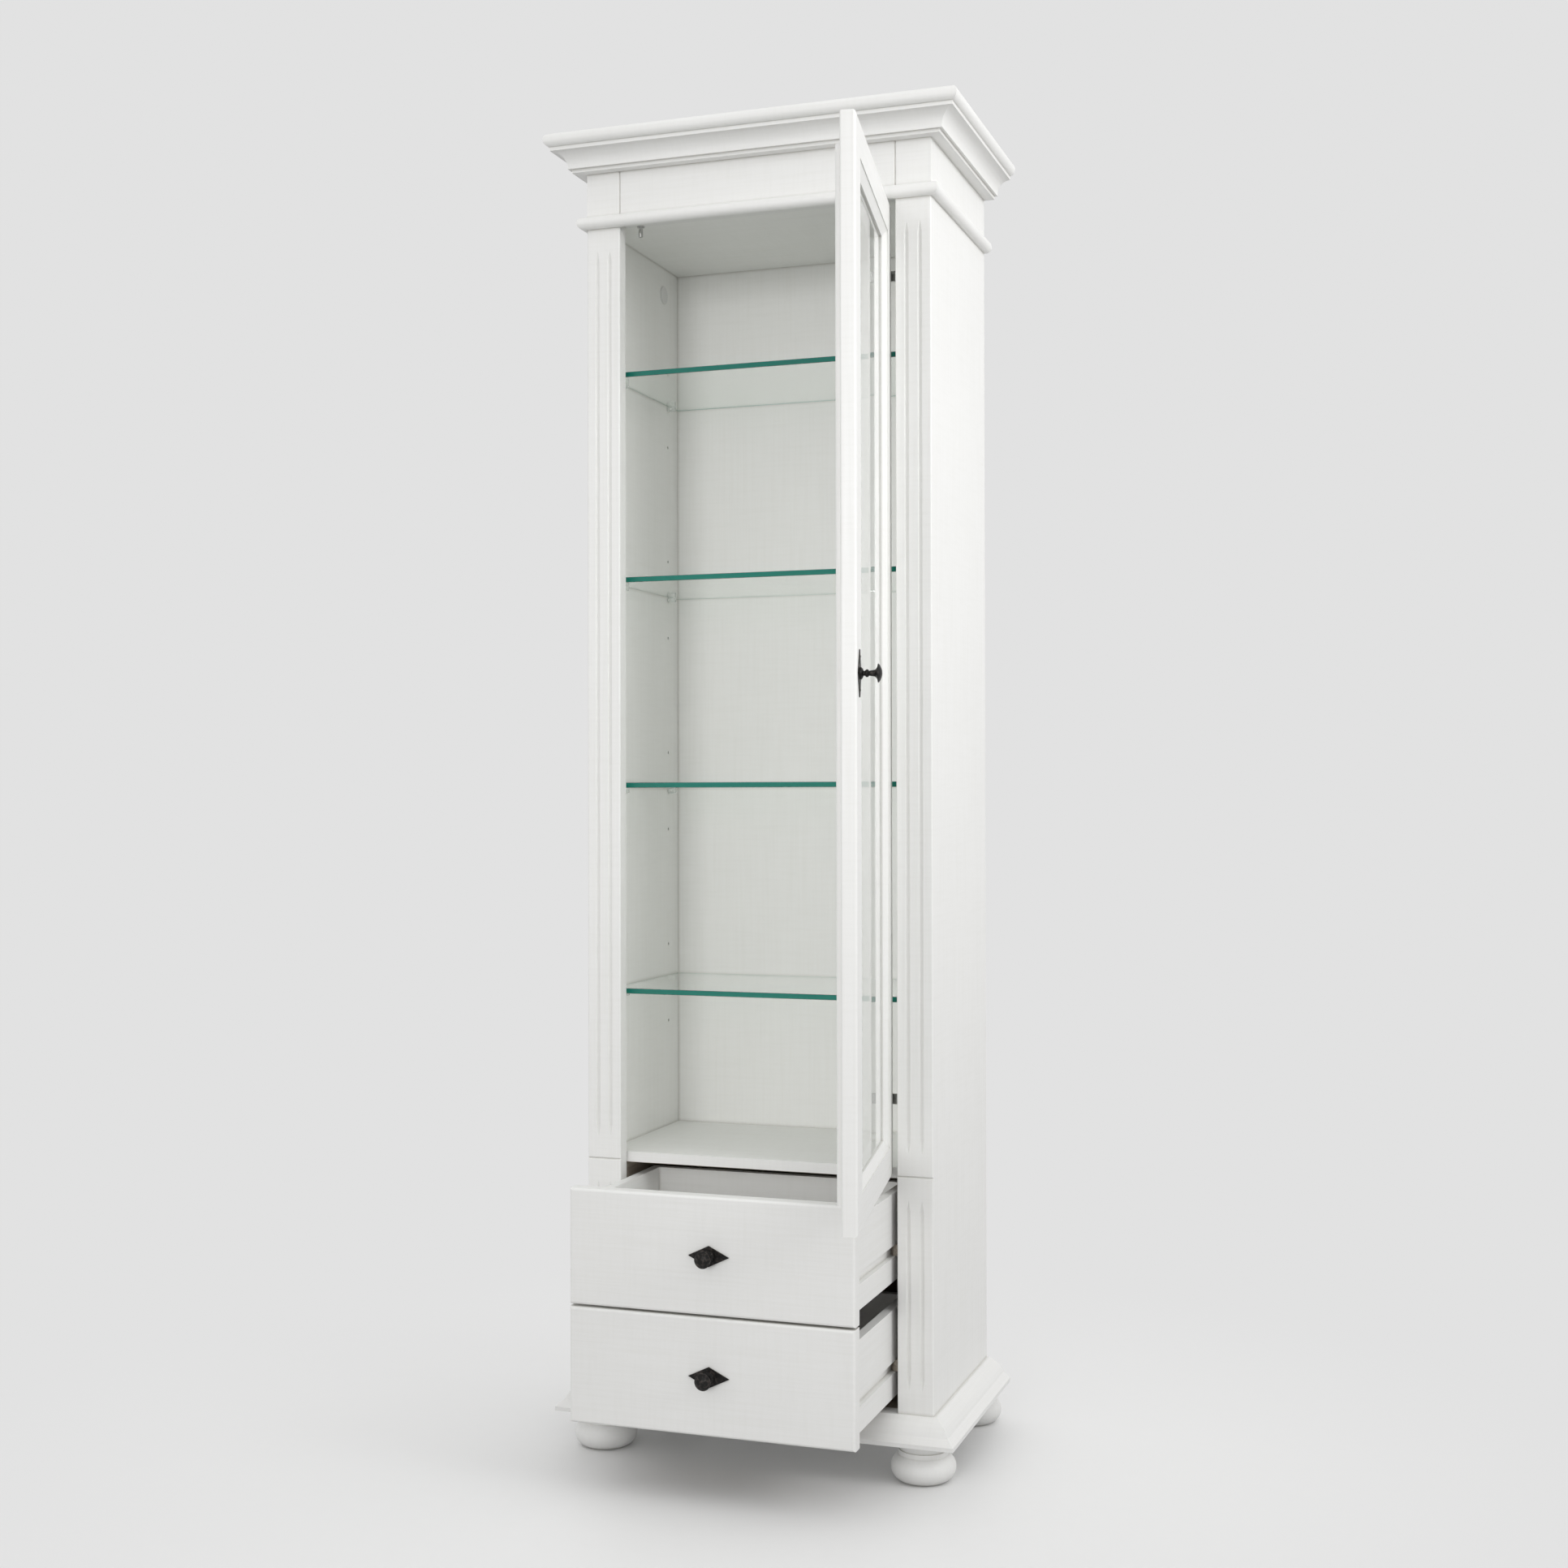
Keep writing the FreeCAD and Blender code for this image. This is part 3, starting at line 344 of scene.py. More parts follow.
@dataclass(frozen=True)
class CoatSpace:
    """Box in which the faces of painted boards get a painted shade or a painted light over their colour."""

    name: str
    low: Point
    high: Point
    shade: Colour
    blur: float = 0.2 * MM

    def mask(self, graph: Graph) -> Socket:
        """Find the faces inside the box.

        Args:
            graph: node tree that gets the nodes.

        Returns:
            A socket that is 1 on those faces and 0 elsewhere.
        """
        coordinates = graph.add("ShaderNodeTexCoord")
        parts = graph.add("ShaderNodeSeparateXYZ")
        graph.join(coordinates.outputs["Object"], parts.inputs[0])
        inside = None
        for axis, start, end in zip("XYZ", self.low, self.high):
            for limit, before, after in ((start, 0.0, 1.0), (end, 1.0, 0.0)):
                share = graph.span(parts.outputs[axis], limit - self.blur, limit + self.blur, before, after)
                if inside is None:
                    inside = share
                    continue
                product = graph.add("ShaderNodeMath", operation="MULTIPLY")
                graph.join(inside, product.inputs[0])
                graph.join(share, product.inputs[1])
                inside = product.outputs["Value"]
        return inside


@dataclass(frozen=True)
class PaintedWood(Finish):
    """White satin paint over brushed softwood: fine crossing streaks and a faintly raised grain."""

    grain: Grain
    turn: float = 0.0
    spaces: tuple[CoatSpace, ...] = ()
    tone: Colour = (0.865, 0.863, 0.848)
    patch_share: float = 0.985
    patch_repeats: float = 6.0
    streak: Colour = (0.976, 0.975, 0.969)
    streak_band: Band = (0.42, 0.72)
    streak_length: float = 0.16
    streak_width: float = 0.0042
    cross_streak: Colour = (0.984, 0.984, 0.981)
    cross_band: Band = (0.45, 0.75)
    cross_width_share: float = 0.4
    cross_shift: Point = (3.1, 1.7, 5.3)
    cross_relief: float = 0.6
    joint_shade: Colour = (0.72, 0.71, 0.68)
    joint_band: Band = (0.35, 0.95)
    joint_reach: float = 0.005
    joint_samples: int = 6
    smooth: float = 0.4
    rough: float = 0.55
    relief_depth: float = 0.00022
    relief_share: float = 0.5

    @property
    def name(self) -> str:
        """Name of the paint on boards of this grain, turn and set of spaces."""
        parts = ["satin_white_paint", self.grain.name.lower(), str(round(math.degrees(self.turn)))]
        return "_".join(parts + [space.name for space in self.spaces])

    def scale(self, along: float, across: float) -> Point:
        """Find the scale of streaks.

        Args:
            along: length of a streak along the grain.
            across: width of a streak across the grain.

        Returns:
            Repeats per metre along each axis.
        """
        scale = [1 / across] * 3
        scale[self.grain.value] = 1 / along
        return tuple(scale)

    def lay(self, graph: Graph) -> None:
        """Lay patches, streaks both ways and painted shade in the corners, and paint each space's shade or
        light over the colour.

        Args:
            graph: empty node tree of the material.
        """
        long_scale = self.scale(self.streak_length, self.streak_width)
        cross_scale = self.scale(self.streak_width, self.streak_length * self.cross_width_share)
        long_streaks = graph.noise(graph.place(long_scale, self.turn), detail=3.0, roughness=0.6)
        cross_streaks = graph.noise(graph.place(cross_scale, self.turn, self.cross_shift))
        patches = graph.noise(graph.place(even(self.patch_repeats), self.turn))
        # painted shade: ambient occlusion darkens the paint colour in corners and where boards meet
        reach = {"Distance": self.joint_reach}
        corner = graph.add("ShaderNodeAmbientOcclusion", reach, samples=self.joint_samples)
        corner_darkness = graph.span(corner.outputs["AO"], *self.joint_band, 1.0, 0.0)
        patch_tone = tuple(part * self.patch_share for part in self.tone)
        colour = graph.blend(graph.vary(patches, 0.0, 1.0), self.tone, patch_tone)
        colour = graph.tint(colour, graph.span(long_streaks, *self.streak_band), self.streak)
        colour = graph.tint(colour, graph.span(cross_streaks, *self.cross_band), self.cross_streak)
        colour = graph.tint(colour, corner_darkness, self.joint_shade)
        # painted shade in the drawer space and under the drawers, painted light in the display space
        for space in self.spaces:
            colour = graph.tint(colour, space.mask(graph), space.shade)
        height = graph.sum(long_streaks, cross_streaks, self.cross_relief)
        graph.surface(
            {"Coat Weight": 0.12, "Coat Roughness": 0.3, "IOR": 1.46},
            {
                "Base Color": colour,
                "Roughness": graph.vary(long_streaks, self.smooth, self.rough),
                "Normal": graph.relief(height, self.relief_depth, self.relief_share),
            },
        )


@dataclass(frozen=True)
class SheetGlass(Finish):
    """Clear float glass whose polished edges look deep green."""

    name: str
    face: Colour = (0.955, 0.985, 0.968)
    edge: Colour = (0.005, 0.235, 0.178)
    passing: Colour = (0.978, 0.994, 0.982)
    edge_clearness: float = 0.35
    level_band: Band = (0.3, 0.8)
    wave_band: Band = (0.4, 0.8)
    wave_repeats: float = 9.0
    wave_depth: float = 0.0002
    wave_share: float = 0.3
    rough: float = 0.015

    def lay(self, graph: Graph) -> None:
        """Lay clear faces and green edges, told apart by how level the surface is.

        Args:
            graph: empty node tree of the material.
        """
        coordinates = graph.add("ShaderNodeTexCoord")
        normal = graph.add("ShaderNodeSeparateXYZ")
        level = graph.add("ShaderNodeMath", operation="ABSOLUTE")
        graph.join(coordinates.outputs["Normal"], normal.inputs[0])
        graph.join(normal.outputs["Z"], level.inputs[0])
        flat = graph.span(level.outputs["Value"], *self.level_band)
        waves = graph.noise(graph.place(even(self.wave_repeats)))
        shader = graph.surface(
            {"IOR": GLASS_IOR},
            {
                "Transmission Weight": graph.span(flat, 0.0, 1.0, self.edge_clearness, 1.0),
                "Base Color": graph.blend(flat, self.edge, self.face),
                "Roughness": graph.span(waves, *self.wave_band, 0.0, self.rough),
                "Normal": graph.relief(waves, self.wave_depth, self.wave_share),
            },
        )
        graph.pass_light(shader, self.passing)


@dataclass(frozen=True)
class PaneGlass(Finish):
    """Thin clear pane of the door, hardly tinted."""

    name: str = "door_pane_glass"
    thick: Colour = (0.975, 0.99, 0.982)
    thin: Colour = (0.985, 0.995, 0.99)
    passing: Colour = (0.98, 0.986, 0.983)
    wave_band: Band = (0.4, 0.8)
    wave_repeats: float = 5.0
    wave_depth: float = 0.0002
    wave_share: float = 0.3
    rough: float = 0.012

    def lay(self, graph: Graph) -> None:
        """Lay clear glass with slow waves.

        Args:
            graph: empty node tree of the material.
        """
        waves = graph.noise(graph.place(even(self.wave_repeats)))
        shader = graph.surface(
            {"Transmission Weight": 1.0, "IOR": GLASS_IOR},
            {
                "Base Color": graph.blend(waves, self.thick, self.thin),
                "Roughness": graph.span(waves, *self.wave_band, 0.0, self.rough),
                "Normal": graph.relief(waves, self.wave_depth, self.wave_share),
            },
        )
        graph.pass_light(shader, self.passing)


@dataclass(frozen=True)
class BlackIron(Finish):
    """Blackened forged iron, lightly hammered and rubbed brown in places."""

    name: str = "blackened_iron"
    dark: Colour = (0.009, 0.0085, 0.008)
    rubbed: Colour = (0.062, 0.051, 0.045)
    dent_repeats: float = 240.0
    scale_repeats: float = 900.0
    scale_shift: Point = (2.0, 7.0, 4.0)
    scale_rub: float = 0.5
    rub_band: Band = (0.74, 1.04)
    scale_relief: float = 0.25
    smooth: float = 0.28
    rough: float = 0.5
    relief_depth: float = 0.0006
    relief_share: float = 0.6

    def lay(self, graph: Graph) -> None:
        """Lay hammer dents and fine scale, rubbed brown where they stand high.

        Args:
            graph: empty node tree of the material.
        """
        dents = graph.noise(graph.place(even(self.dent_repeats)), detail=1.0, roughness=0.4)
        scale_place = graph.place(even(self.scale_repeats), shift=self.scale_shift)
        scale = graph.noise(scale_place, detail=4.0, roughness=0.65)
        rub = graph.span(graph.sum(dents, scale, self.scale_rub), *self.rub_band)
        height = graph.sum(dents, scale, self.scale_relief)
        graph.surface(
            {"Metallic": 0.1, "IOR": 1.45, "Specular IOR Level": 0.28},
            {
                "Base Color": graph.blend(rub, self.dark, self.rubbed),
                "Roughness": graph.vary(scale, self.smooth, self.rough),
                "Normal": graph.relief(height, self.relief_depth, self.relief_share),
            },
        )


@dataclass(frozen=True)
class BrightSteel(Finish):
    """Plated steel with fine drawn scratches."""

    name: str
    tone: Colour = (0.56, 0.56, 0.55)
    scratch: Colour = (0.42, 0.42, 0.42)
    scratch_band: Band = (0.4, 0.75)
    scratch_scale: Point = (1400.0, 1400.0, 90.0)
    smooth: float = 0.2
    rough: float = 0.38
    relief_depth: float = 0.00006
    relief_share: float = 0.4

    def lay(self, graph: Graph) -> None:
        """Lay bright metal with upright scratches.

        Args:
            graph: empty node tree of the material.
        """
        scratches = graph.noise(graph.place(self.scratch_scale), detail=3.0, roughness=0.6)
        graph.surface(
            {"Metallic": 1.0},
            {
                "Base Color": graph.blend(graph.span(scratches, *self.scratch_band), self.tone, self.scratch),
                "Roughness": graph.vary(scratches, self.smooth, self.rough),
                "Normal": graph.relief(scratches, self.relief_depth, self.relief_share),
            },
        )


@dataclass(frozen=True)
class ClearPlastic(Finish):
    """Clear moulded plastic, slightly clouded."""

    name: str = "clear_pin_plastic"
    clear: Colour = (0.93, 0.945, 0.93)
    cloudy: Colour = (0.84, 0.86, 0.84)
    cloud_band: Band = (0.35, 0.7)
    cloud_repeats: float = 300.0
    smooth: float = 0.12
    rough: float = 0.3

    def lay(self, graph: Graph) -> None:
        """Lay half-clear plastic with clouds in it.

        Args:
            graph: empty node tree of the material.
        """
        clouds = graph.noise(graph.place(even(self.cloud_repeats)))
        shader = graph.surface(
            {"Transmission Weight": 0.5, "IOR": 1.49},
            {
                "Base Color": graph.blend(graph.span(clouds, *self.cloud_band), self.clear, self.cloudy),
                "Roughness": graph.vary(clouds, self.smooth, self.rough),
            },
        )
        graph.pass_light(shader, self.cloudy)


@dataclass(frozen=True)
class WhitePlastic(Finish):
    """White moulded plastic with a fine pebbled skin."""

    name: str = "white_cap_plastic"
    tone: Colour = (0.8, 0.8, 0.785)
    hollow: Colour = (0.74, 0.74, 0.725)
    pebble_band: Band = (0.35, 0.7)
    pebble_repeats: float = 1100.0
    smooth: float = 0.38
    rough: float = 0.5
    relief_depth: float = 0.00008
    relief_share: float = 0.4

    def lay(self, graph: Graph) -> None:
        """Lay white plastic, darker in the hollows of its skin.

        Args:
            graph: empty node tree of the material.
        """
        pebbles = graph.noise(graph.place(even(self.pebble_repeats)))
        graph.surface(
            {"IOR": 1.48},
            {
                "Base Color": graph.blend(graph.span(pebbles, *self.pebble_band), self.tone, self.hollow),
                "Roughness": graph.vary(pebbles, self.smooth, self.rough),
                "Normal": graph.relief(pebbles, self.relief_depth, self.relief_share),
            },
        )


@dataclass(frozen=True)
class RunnerWood(Finish):
    """Planed beech of the drawer runners, waxed and a little grey."""

    name: str = "waxed_beech"
    pale: Colour = (0.43, 0.385, 0.33)
    dark: Colour = (0.29, 0.25, 0.205)
    fleck: Colour = (0.7, 0.66, 0.6)
    ring_band: Band = (0.35, 0.68)
    ring_scale: Point = (260.0, 7.0, 260.0)
    fleck_band: Band = (0.58, 0.75)
    fleck_scale: Point = (900.0, 160.0, 900.0)
    fleck_shift: Point = (4.0, 2.0, 9.0)
    fleck_relief: float = 0.5
    smooth: float = 0.45
    rough: float = 0.62
    relief_depth: float = 0.0002
    relief_share: float = 0.5

    def lay(self, graph: Graph) -> None:
        """Lay long rings and short flecks along the runner.

        Args:
            graph: empty node tree of the material.
        """
        rings = graph.noise(graph.place(self.ring_scale), detail=3.0, roughness=0.6)
        flecks = graph.noise(graph.place(self.fleck_scale, shift=self.fleck_shift))
        colour = graph.blend(graph.span(rings, *self.ring_band), self.pale, self.dark)
        colour = graph.tint(colour, graph.span(flecks, *self.fleck_band), self.fleck)
        height = graph.sum(rings, flecks, self.fleck_relief)
        graph.surface(
            {"IOR": 1.45},
            {
                "Base Color": colour,
                "Roughness": graph.vary(rings, self.smooth, self.rough),
                "Normal": graph.relief(height, self.relief_depth, self.relief_share),
            },
        )


SHELF_GLASS = SheetGlass("green_edged_shelf_glass")
PANE_GLASS = PaneGlass()
BLACK_IRON = BlackIron()
HINGE_STEEL = BrightSteel("nickelled_hinge_steel")
STOP_STEEL = BrightSteel("turned_stop_steel", tone=(0.62, 0.62, 0.61), smooth=0.14, rough=0.26)
NAIL_STEEL = BrightSteel("dull_nail_steel", (0.44, 0.44, 0.43), (0.3, 0.3, 0.29), smooth=0.35, rough=0.5)
CLEAR_PLASTIC = ClearPlastic()
WHITE_PLASTIC = WhitePlastic()
RUNNER_WOOD = RunnerWood()


def dress(nodes: Iterable[str], finish: Finish) -> None:
    """Give a finish to CAD nodes through their objects' material slots.

    Args:
        nodes: node names.
        finish: what they are finished in.
    """
    for name in nodes:
        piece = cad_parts[name]
        if not piece.material_slots:
            piece.data.materials.append(None)
        for slot in piece.material_slots:
            slot.link = "OBJECT"
            slot.material = finish.material()
        LOG.info("dressed %s in %s", name, finish.material().name)


class Bench:
    """Modelling steps that the small fittings share."""

    @staticmethod
    def clear() -> None:
        """Leave edit mode and deselect everything."""
        if bpy.context.object and bpy.context.object.mode != "OBJECT":
            bpy.ops.object.mode_set(mode="OBJECT")
        bpy.ops.object.select_all(action="DESELECT")

    @staticmethod
    def take(piece: Piece) -> None:
        """Make a piece the only selected and active one.

        Args:
            piece: object to work on.
        """
        Bench.clear()
        piece.select_set(True)
        bpy.context.view_layer.objects.active = piece

    @staticmethod
    def edit_faces(piece: Piece, chosen: Callable[[bpy.types.MeshPolygon], bool]) -> None:
        """Enter edit mode with the chosen faces selected.

        Args:
            piece: mesh object.
            chosen: says of a face whether it is selected.
        """
        Bench.take(piece)
        bpy.ops.object.mode_set(mode="EDIT")
        bpy.ops.mesh.select_mode(type="FACE")
        bpy.ops.mesh.select_all(action="DESELECT")
        bpy.ops.object.mode_set(mode="OBJECT")
        for face in piece.data.polygons:
            face.select = chosen(face)
        bpy.ops.object.mode_set(mode="EDIT")

    @staticmethod
    def finish(piece: Piece, name: str) -> Piece:
        """Turn normals outward, smooth the round faces and name the piece.

        Args:
            piece: mesh object.
            name: its new name.

        Returns:
            The same object.
        """
        Bench.take(piece)
        bpy.ops.object.mode_set(mode="EDIT")
        bpy.ops.mesh.select_all(action="SELECT")
        bpy.ops.mesh.remove_doubles(threshold=MERGE_DISTANCE)
        bpy.ops.mesh.normals_make_consistent(inside=False)
        bpy.ops.object.mode_set(mode="OBJECT")
        bpy.ops.object.shade_smooth_by_angle(angle=SMOOTH_ANGLE)
        piece.name = piece.data.name = name
        return piece

    @staticmethod
    def carve(piece: Piece, tool: Piece) -> None:
        """Cut a tool out of a piece and remove the tool.

        Args:
            piece: mesh object that is cut.
            tool: mesh object that is taken away.
        """
        Bench.take(piece)
        modifier = piece.modifiers.new("recess", "BOOLEAN")
        modifier.operation = "DIFFERENCE"
        modifier.object = tool
        bpy.ops.object.modifier_apply(modifier=modifier.name)
        Bench.take(tool)
        bpy.ops.object.delete()

    @staticmethod
    def spread(pattern: Piece, name: str, places: Iterable[Matrix]) -> Piece:
        """Copy a pattern to each place and join the copies to one piece.

        Args:
            pattern: piece modelled at the origin along Z.
            name: name of the joined piece.
            places: where each copy goes.

        Returns:
            The joined piece, its place in its mesh.
        """
        copies = []
        for place in places:
            Bench.take(pattern)
            bpy.ops.object.duplicate(linked=False)
            copy = bpy.context.object
            copy.matrix_world = place
            Bench.take(copy)
            bpy.ops.object.transform_apply(location=True, rotation=True, scale=True)
            copies.append(copy)
        Bench.clear()
        for copy in copies:
            copy.select_set(True)
        bpy.context.view_layer.objects.active = copies[0]
        if len(copies) > 1:
            bpy.ops.object.join()
        piece = bpy.context.object
        piece.name = piece.data.name = name
        return piece

    @staticmethod
    def scrap(pattern: Piece) -> None:
        """Delete a pattern that has been copied."""
        Bench.take(pattern)
        bpy.ops.object.delete()

    @staticmethod
    def facing(place: Vector, outward: Vector, roll: float = 0.0) -> Matrix:
        """Place for a fitting that stands on a face.

        Args:
            place: point on the face.
            outward: the face's normal.
            roll: turn about the normal.

        Returns:
            The matrix that takes local Z to the normal.
        """
        turned = outward.to_track_quat("Z", "Y").to_matrix().to_4x4()
        return Matrix.Translation(place) @ turned @ Matrix.Rotation(roll, 4, "Z")


class Fastener(Protocol):
    """Anything small that is modelled once and copied to its places."""

    def build(self) -> Piece:
        """Model the fastener at the origin, head up."""
        ...


@dataclass(frozen=True)
class DomeNail:
    """Nail with a domed head."""

    radius: float
    height: float
    root: float = 0.4 * MM
    segments: int = 20
    rings: int = 16

    def build(self) -> Piece:
        """Model the nail at the origin, head up.

        Returns:
            The pattern.
        """
        ball = (self.radius**2 + self.height**2) / (2 * self.height)
        Bench.clear()
        bpy.ops.mesh.primitive_uv_sphere_add(
            segments=self.segments, ring_count=self.rings, radius=ball, location=(0, 0, self.height - ball)
        )
        piece = bpy.context.object
        bpy.ops.object.transform_apply(location=True)
        Bench.edit_faces(piece, lambda face: True)
        bpy.ops.mesh.bisect(plane_co=(0, 0, 0), plane_no=(0, 0, 1), clear_inner=True, use_fill=True)
        Bench.edit_faces(piece, lambda face: face.normal.z < -FLAT)
        bpy.ops.mesh.extrude_region_move(TRANSFORM_OT_translate={"value": (0, 0, -self.root)})
        return Bench.finish(piece, "dome_nail_pattern")


@dataclass(frozen=True)
class CrossScrew:
    """Pan-headed screw with a cross recess. Shares are of its radius, or of its height for the depth."""

    radius: float
    height: float
    root: float = 0.3 * MM
    segments: int = 28
    shoulder_share: float = 0.08
    crown_share: float = 0.03
    rim_share: float = 0.06
    rim_segments: int = 2
    slope_start: float = 0.05
    recess_length_share: float = 1.15
    recess_width_share: float = 0.24
    recess_depth_share: float = 1.1
    recess_foot: Point = (0.45, 0.7, 1.0)

    def build(self) -> Piece:
        """Model the screw head at the origin, recess up.

        Returns:
            The pattern.
        """
        head = self.head()
        for turn in (0.0, math.pi / 2):
            Bench.carve(head, self.bar(turn))
        return Bench.finish(head, "cross_screw_pattern")

    def head(self) -> Piece:
        """Turn a crowned disc with a rounded rim.

        Returns:
            The disc.
        """
        Bench.clear()
        bpy.ops.mesh.primitive_cylinder_add(
            vertices=self.segments,
            radius=self.radius,
            depth=self.height + self.root,
            location=(0, 0, (self.height - self.root) / 2),
        )
        piece = bpy.context.object
        bpy.ops.object.transform_apply(location=True)
        Bench.edit_faces(piece, lambda face: face.normal.z > FLAT)
        bpy.ops.mesh.inset(thickness=self.radius * self.shoulder_share)
        bpy.ops.transform.translate(value=(0, 0, self.radius * self.crown_share))
        Bench.edit_faces(piece, lambda face: self.slope_start < face.normal.z < FLAT)
        bpy.ops.mesh.region_to_loop()
        bpy.ops.mesh.bevel(offset=self.radius * self.rim_share, segments=self.rim_segments, affect="EDGES")
        bpy.ops.object.mode_set(mode="OBJECT")
        return piece

    def bar(self, turn: float) -> Piece:
        """Make one bar of the recess, narrower at its foot.

        Args:
            turn: direction of the bar about Z.

        Returns:
            The bar.
        """
        Bench.clear()
        bpy.ops.mesh.primitive_cube_add(size=1.0, location=(0, 0, self.height))
        piece = bpy.context.object
        piece.scale = (
            self.radius * self.recess_length_share,
            self.radius * self.recess_width_share,
            self.height * self.recess_depth_share,
        )
        bpy.ops.object.transform_apply(location=True, rotation=True, scale=True)
        Bench.edit_faces(piece, lambda face: face.normal.z < -FLAT)
        bpy.ops.transform.resize(value=self.recess_foot, center_override=(0, 0, 0))
        bpy.ops.object.mode_set(mode="OBJECT")
        piece.rotation_euler.z = turn
        Bench.take(piece)
        bpy.ops.object.transform_apply(location=True, rotation=True, scale=True)
        return piece


def fit(
    fastener: Fastener, name: str, places: Iterable[Matrix], body: Body, finish: Finish
) -> None:
    """Model a fastener once and add its copies as one finished piece that rides on a body.

    Args:
        fastener: what is copied.
        name: name of the piece.
        places: where each copy goes.
        body: body that the piece moves with.
        finish: what the piece is finished in.
    """
    pattern = fastener.build()
    piece = Bench.spread(pattern, name, places)
    Bench.scrap(pattern)
    piece.data.materials.clear()
    piece.data.materials.append(finish.material())
    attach(piece, body.value)
    LOG.info("added %s on %s: %d faces", piece.name, body.value, len(piece.data.polygons))


@dataclass
class Carcass:
    """Fixed boards, mouldings and feet, with the nails that hold the back panel."""

    upright: tuple[str, ...] = ("side_left", "side_right", "back_panel", "pilaster_left", "pilaster_right")
    crosswise: tuple[str, ...] = (
        "top_panel",
        "bottom_panel",
        "fixed_shelf",
        "plinth_rail",
        "frieze_board",
        "plinth_front",
        "astragal_front",
        "cornice_front",
        "cornice_top_board",
    )
    returns: tuple[str, ...] = (
        "plinth_left",
        "plinth_right",
        "astragal_left",
        "astragal_right",
        "cornice_left",
        "cornice_right",
    )
    feet: tuple[str, ...] = ("foot_front_left", "foot_front_right", "foot_back_left", "foot_back_right")
    face_reach: float = 0.5 * MM
    nail: DomeNail = DomeNail(3.0 * MM, 0.9 * MM)
    nail_inset: float = 9.0 * MM
    nails_upright: int = 9
    nails_across: int = 3

    def spaces(self) -> tuple[CoatSpace, ...]:
        """Find the spaces inside the case.

        Returns:
            The space round the drawers, darkened to a bare-board tone as painted shade, and the display
            space, lightened as painted light.
        """
        left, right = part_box("side_left")[1][0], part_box("side_right")[0][0]
        rear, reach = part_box("back_panel")[0][1], self.face_reach
        shelf_low, shelf_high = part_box("fixed_shelf")
        rail_back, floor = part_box("plinth_rail")[1][1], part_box("bottom_panel")[1][2]
        made = []
        for name, shade, front, bottom, top in (
            # painted shade: the inner faces round the drawers are darkened to a bare-board tone
            ("bare_inside", BARE_BOARD_AND_SHADE, rail_back, floor, shelf_low[2]),
            # painted light: the inner faces of the display space are lightened
            ("display_space", DISPLAY_LIGHT_LIFT, shelf_low[1], shelf_high[2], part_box("top_panel")[0][2]),
        ):
            low = (left - reach, front + reach, bottom - reach)
            high = (right + reach, rear + reach, top + reach)
            made.append(CoatSpace(name, low, high, shade))
        return tuple(made)

    def build(self) -> None:
        """Dress the boards and nail the back panel."""
        dress(self.upright, PaintedWood(Grain.ALONG_Z, spaces=self.spaces()))
        dress(self.crosswise, PaintedWood(Grain.ALONG_X, spaces=self.spaces()))
        dress(self.returns, PaintedWood(Grain.ALONG_Y))
        # the liners get the runners' beech; its darker tone is also painted shade behind the pilasters beside
        # the drawers
        dress(["drawer_liners", "drawer_runners"], RUNNER_WOOD)
        dress(self.feet, PaintedWood(Grain.ALONG_Z))
        self.nail_back()

    def nail_back(self) -> None:
        """Nail the back panel along its edges and along the three level panels."""
        low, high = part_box("back_panel")
        face, outward = high[1], Vector((0, 1, 0))
        left, right = low[0] + self.nail_inset, high[0] - self.nail_inset
        rise = high[2] - low[2] - 2 * self.nail_inset
        points = []
        for i in range(self.nails_upright):
            z = low[2] + self.nail_inset + rise * i / (self.nails_upright - 1)
            points += [(left, z), (right, z)]
        for board in ("fixed_shelf", "top_panel", "bottom_panel"):
            board_low, board_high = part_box(board)
            for i in range(1, self.nails_across + 1):
                x = left + (right - left) * i / (self.nails_across + 1)
                points.append((x, (board_low[2] + board_high[2]) / 2))
        places = [Bench.facing(Vector((x, face, z)), outward) for x, z in points]
        fit(self.nail, "back_panel_nails", places, Body.CABINET, NAIL_STEEL)


@dataclass
class Shelving:
    """Loose glass shelves on clear pins, and the small fittings of the display space."""

    shelf_count: int = 4

    def build(self) -> None:
        """Dress the shelves, pins, cover caps and the door stop."""
        dress([f"glass_shelf_{i}" for i in range(1, self.shelf_count + 1)], SHELF_GLASS)
        dress(["shelf_pins"], CLEAR_PLASTIC)
        dress(["cover_caps"], WHITE_PLASTIC)
        dress(["door_stop_pin"], STOP_STEEL)


@dataclass
class KnobPlate:
    """Diamond plate of a knob, held by two domed nails, and the screw behind it."""

    body: Body
    outward: Vector
    along: Vector
    behind: float
    plate_length: float = 61.0 * MM
    plate_thickness: float = 1.5 * MM
    nail_share: float = 0.7
    nail: DomeNail = DomeNail(1.35 * MM, 1.0 * MM)
    screw: CrossScrew = CrossScrew(4.2 * MM, 1.0 * MM)
    screw_roll: float = 0.4

    def build(self) -> None:
        """Dress the knob and plate, and add the nails and the screw behind."""
        name = self.body.value
        plate = f"{name}_knob_plate"
        dress([plate, f"{name}_knob"], BLACK_IRON)
        low, high = (Vector(corner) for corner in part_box(plate))
        centre = (low + high) / 2
        face = centre + self.outward * self.plate_thickness / 2
        inner = centre - self.outward * (self.plate_thickness / 2 + self.behind)
        reach = self.along * self.plate_length / 2 * self.nail_share
        nails = [Bench.facing(face + reach, self.outward), Bench.facing(face - reach, self.outward)]
        screws = [Bench.facing(inner, -self.outward, self.screw_roll)]
        fit(self.nail, f"{name}_plate_nails", nails, self.body, BLACK_IRON)
        fit(self.screw, f"{name}_knob_screw", screws, self.body, HINGE_STEEL)


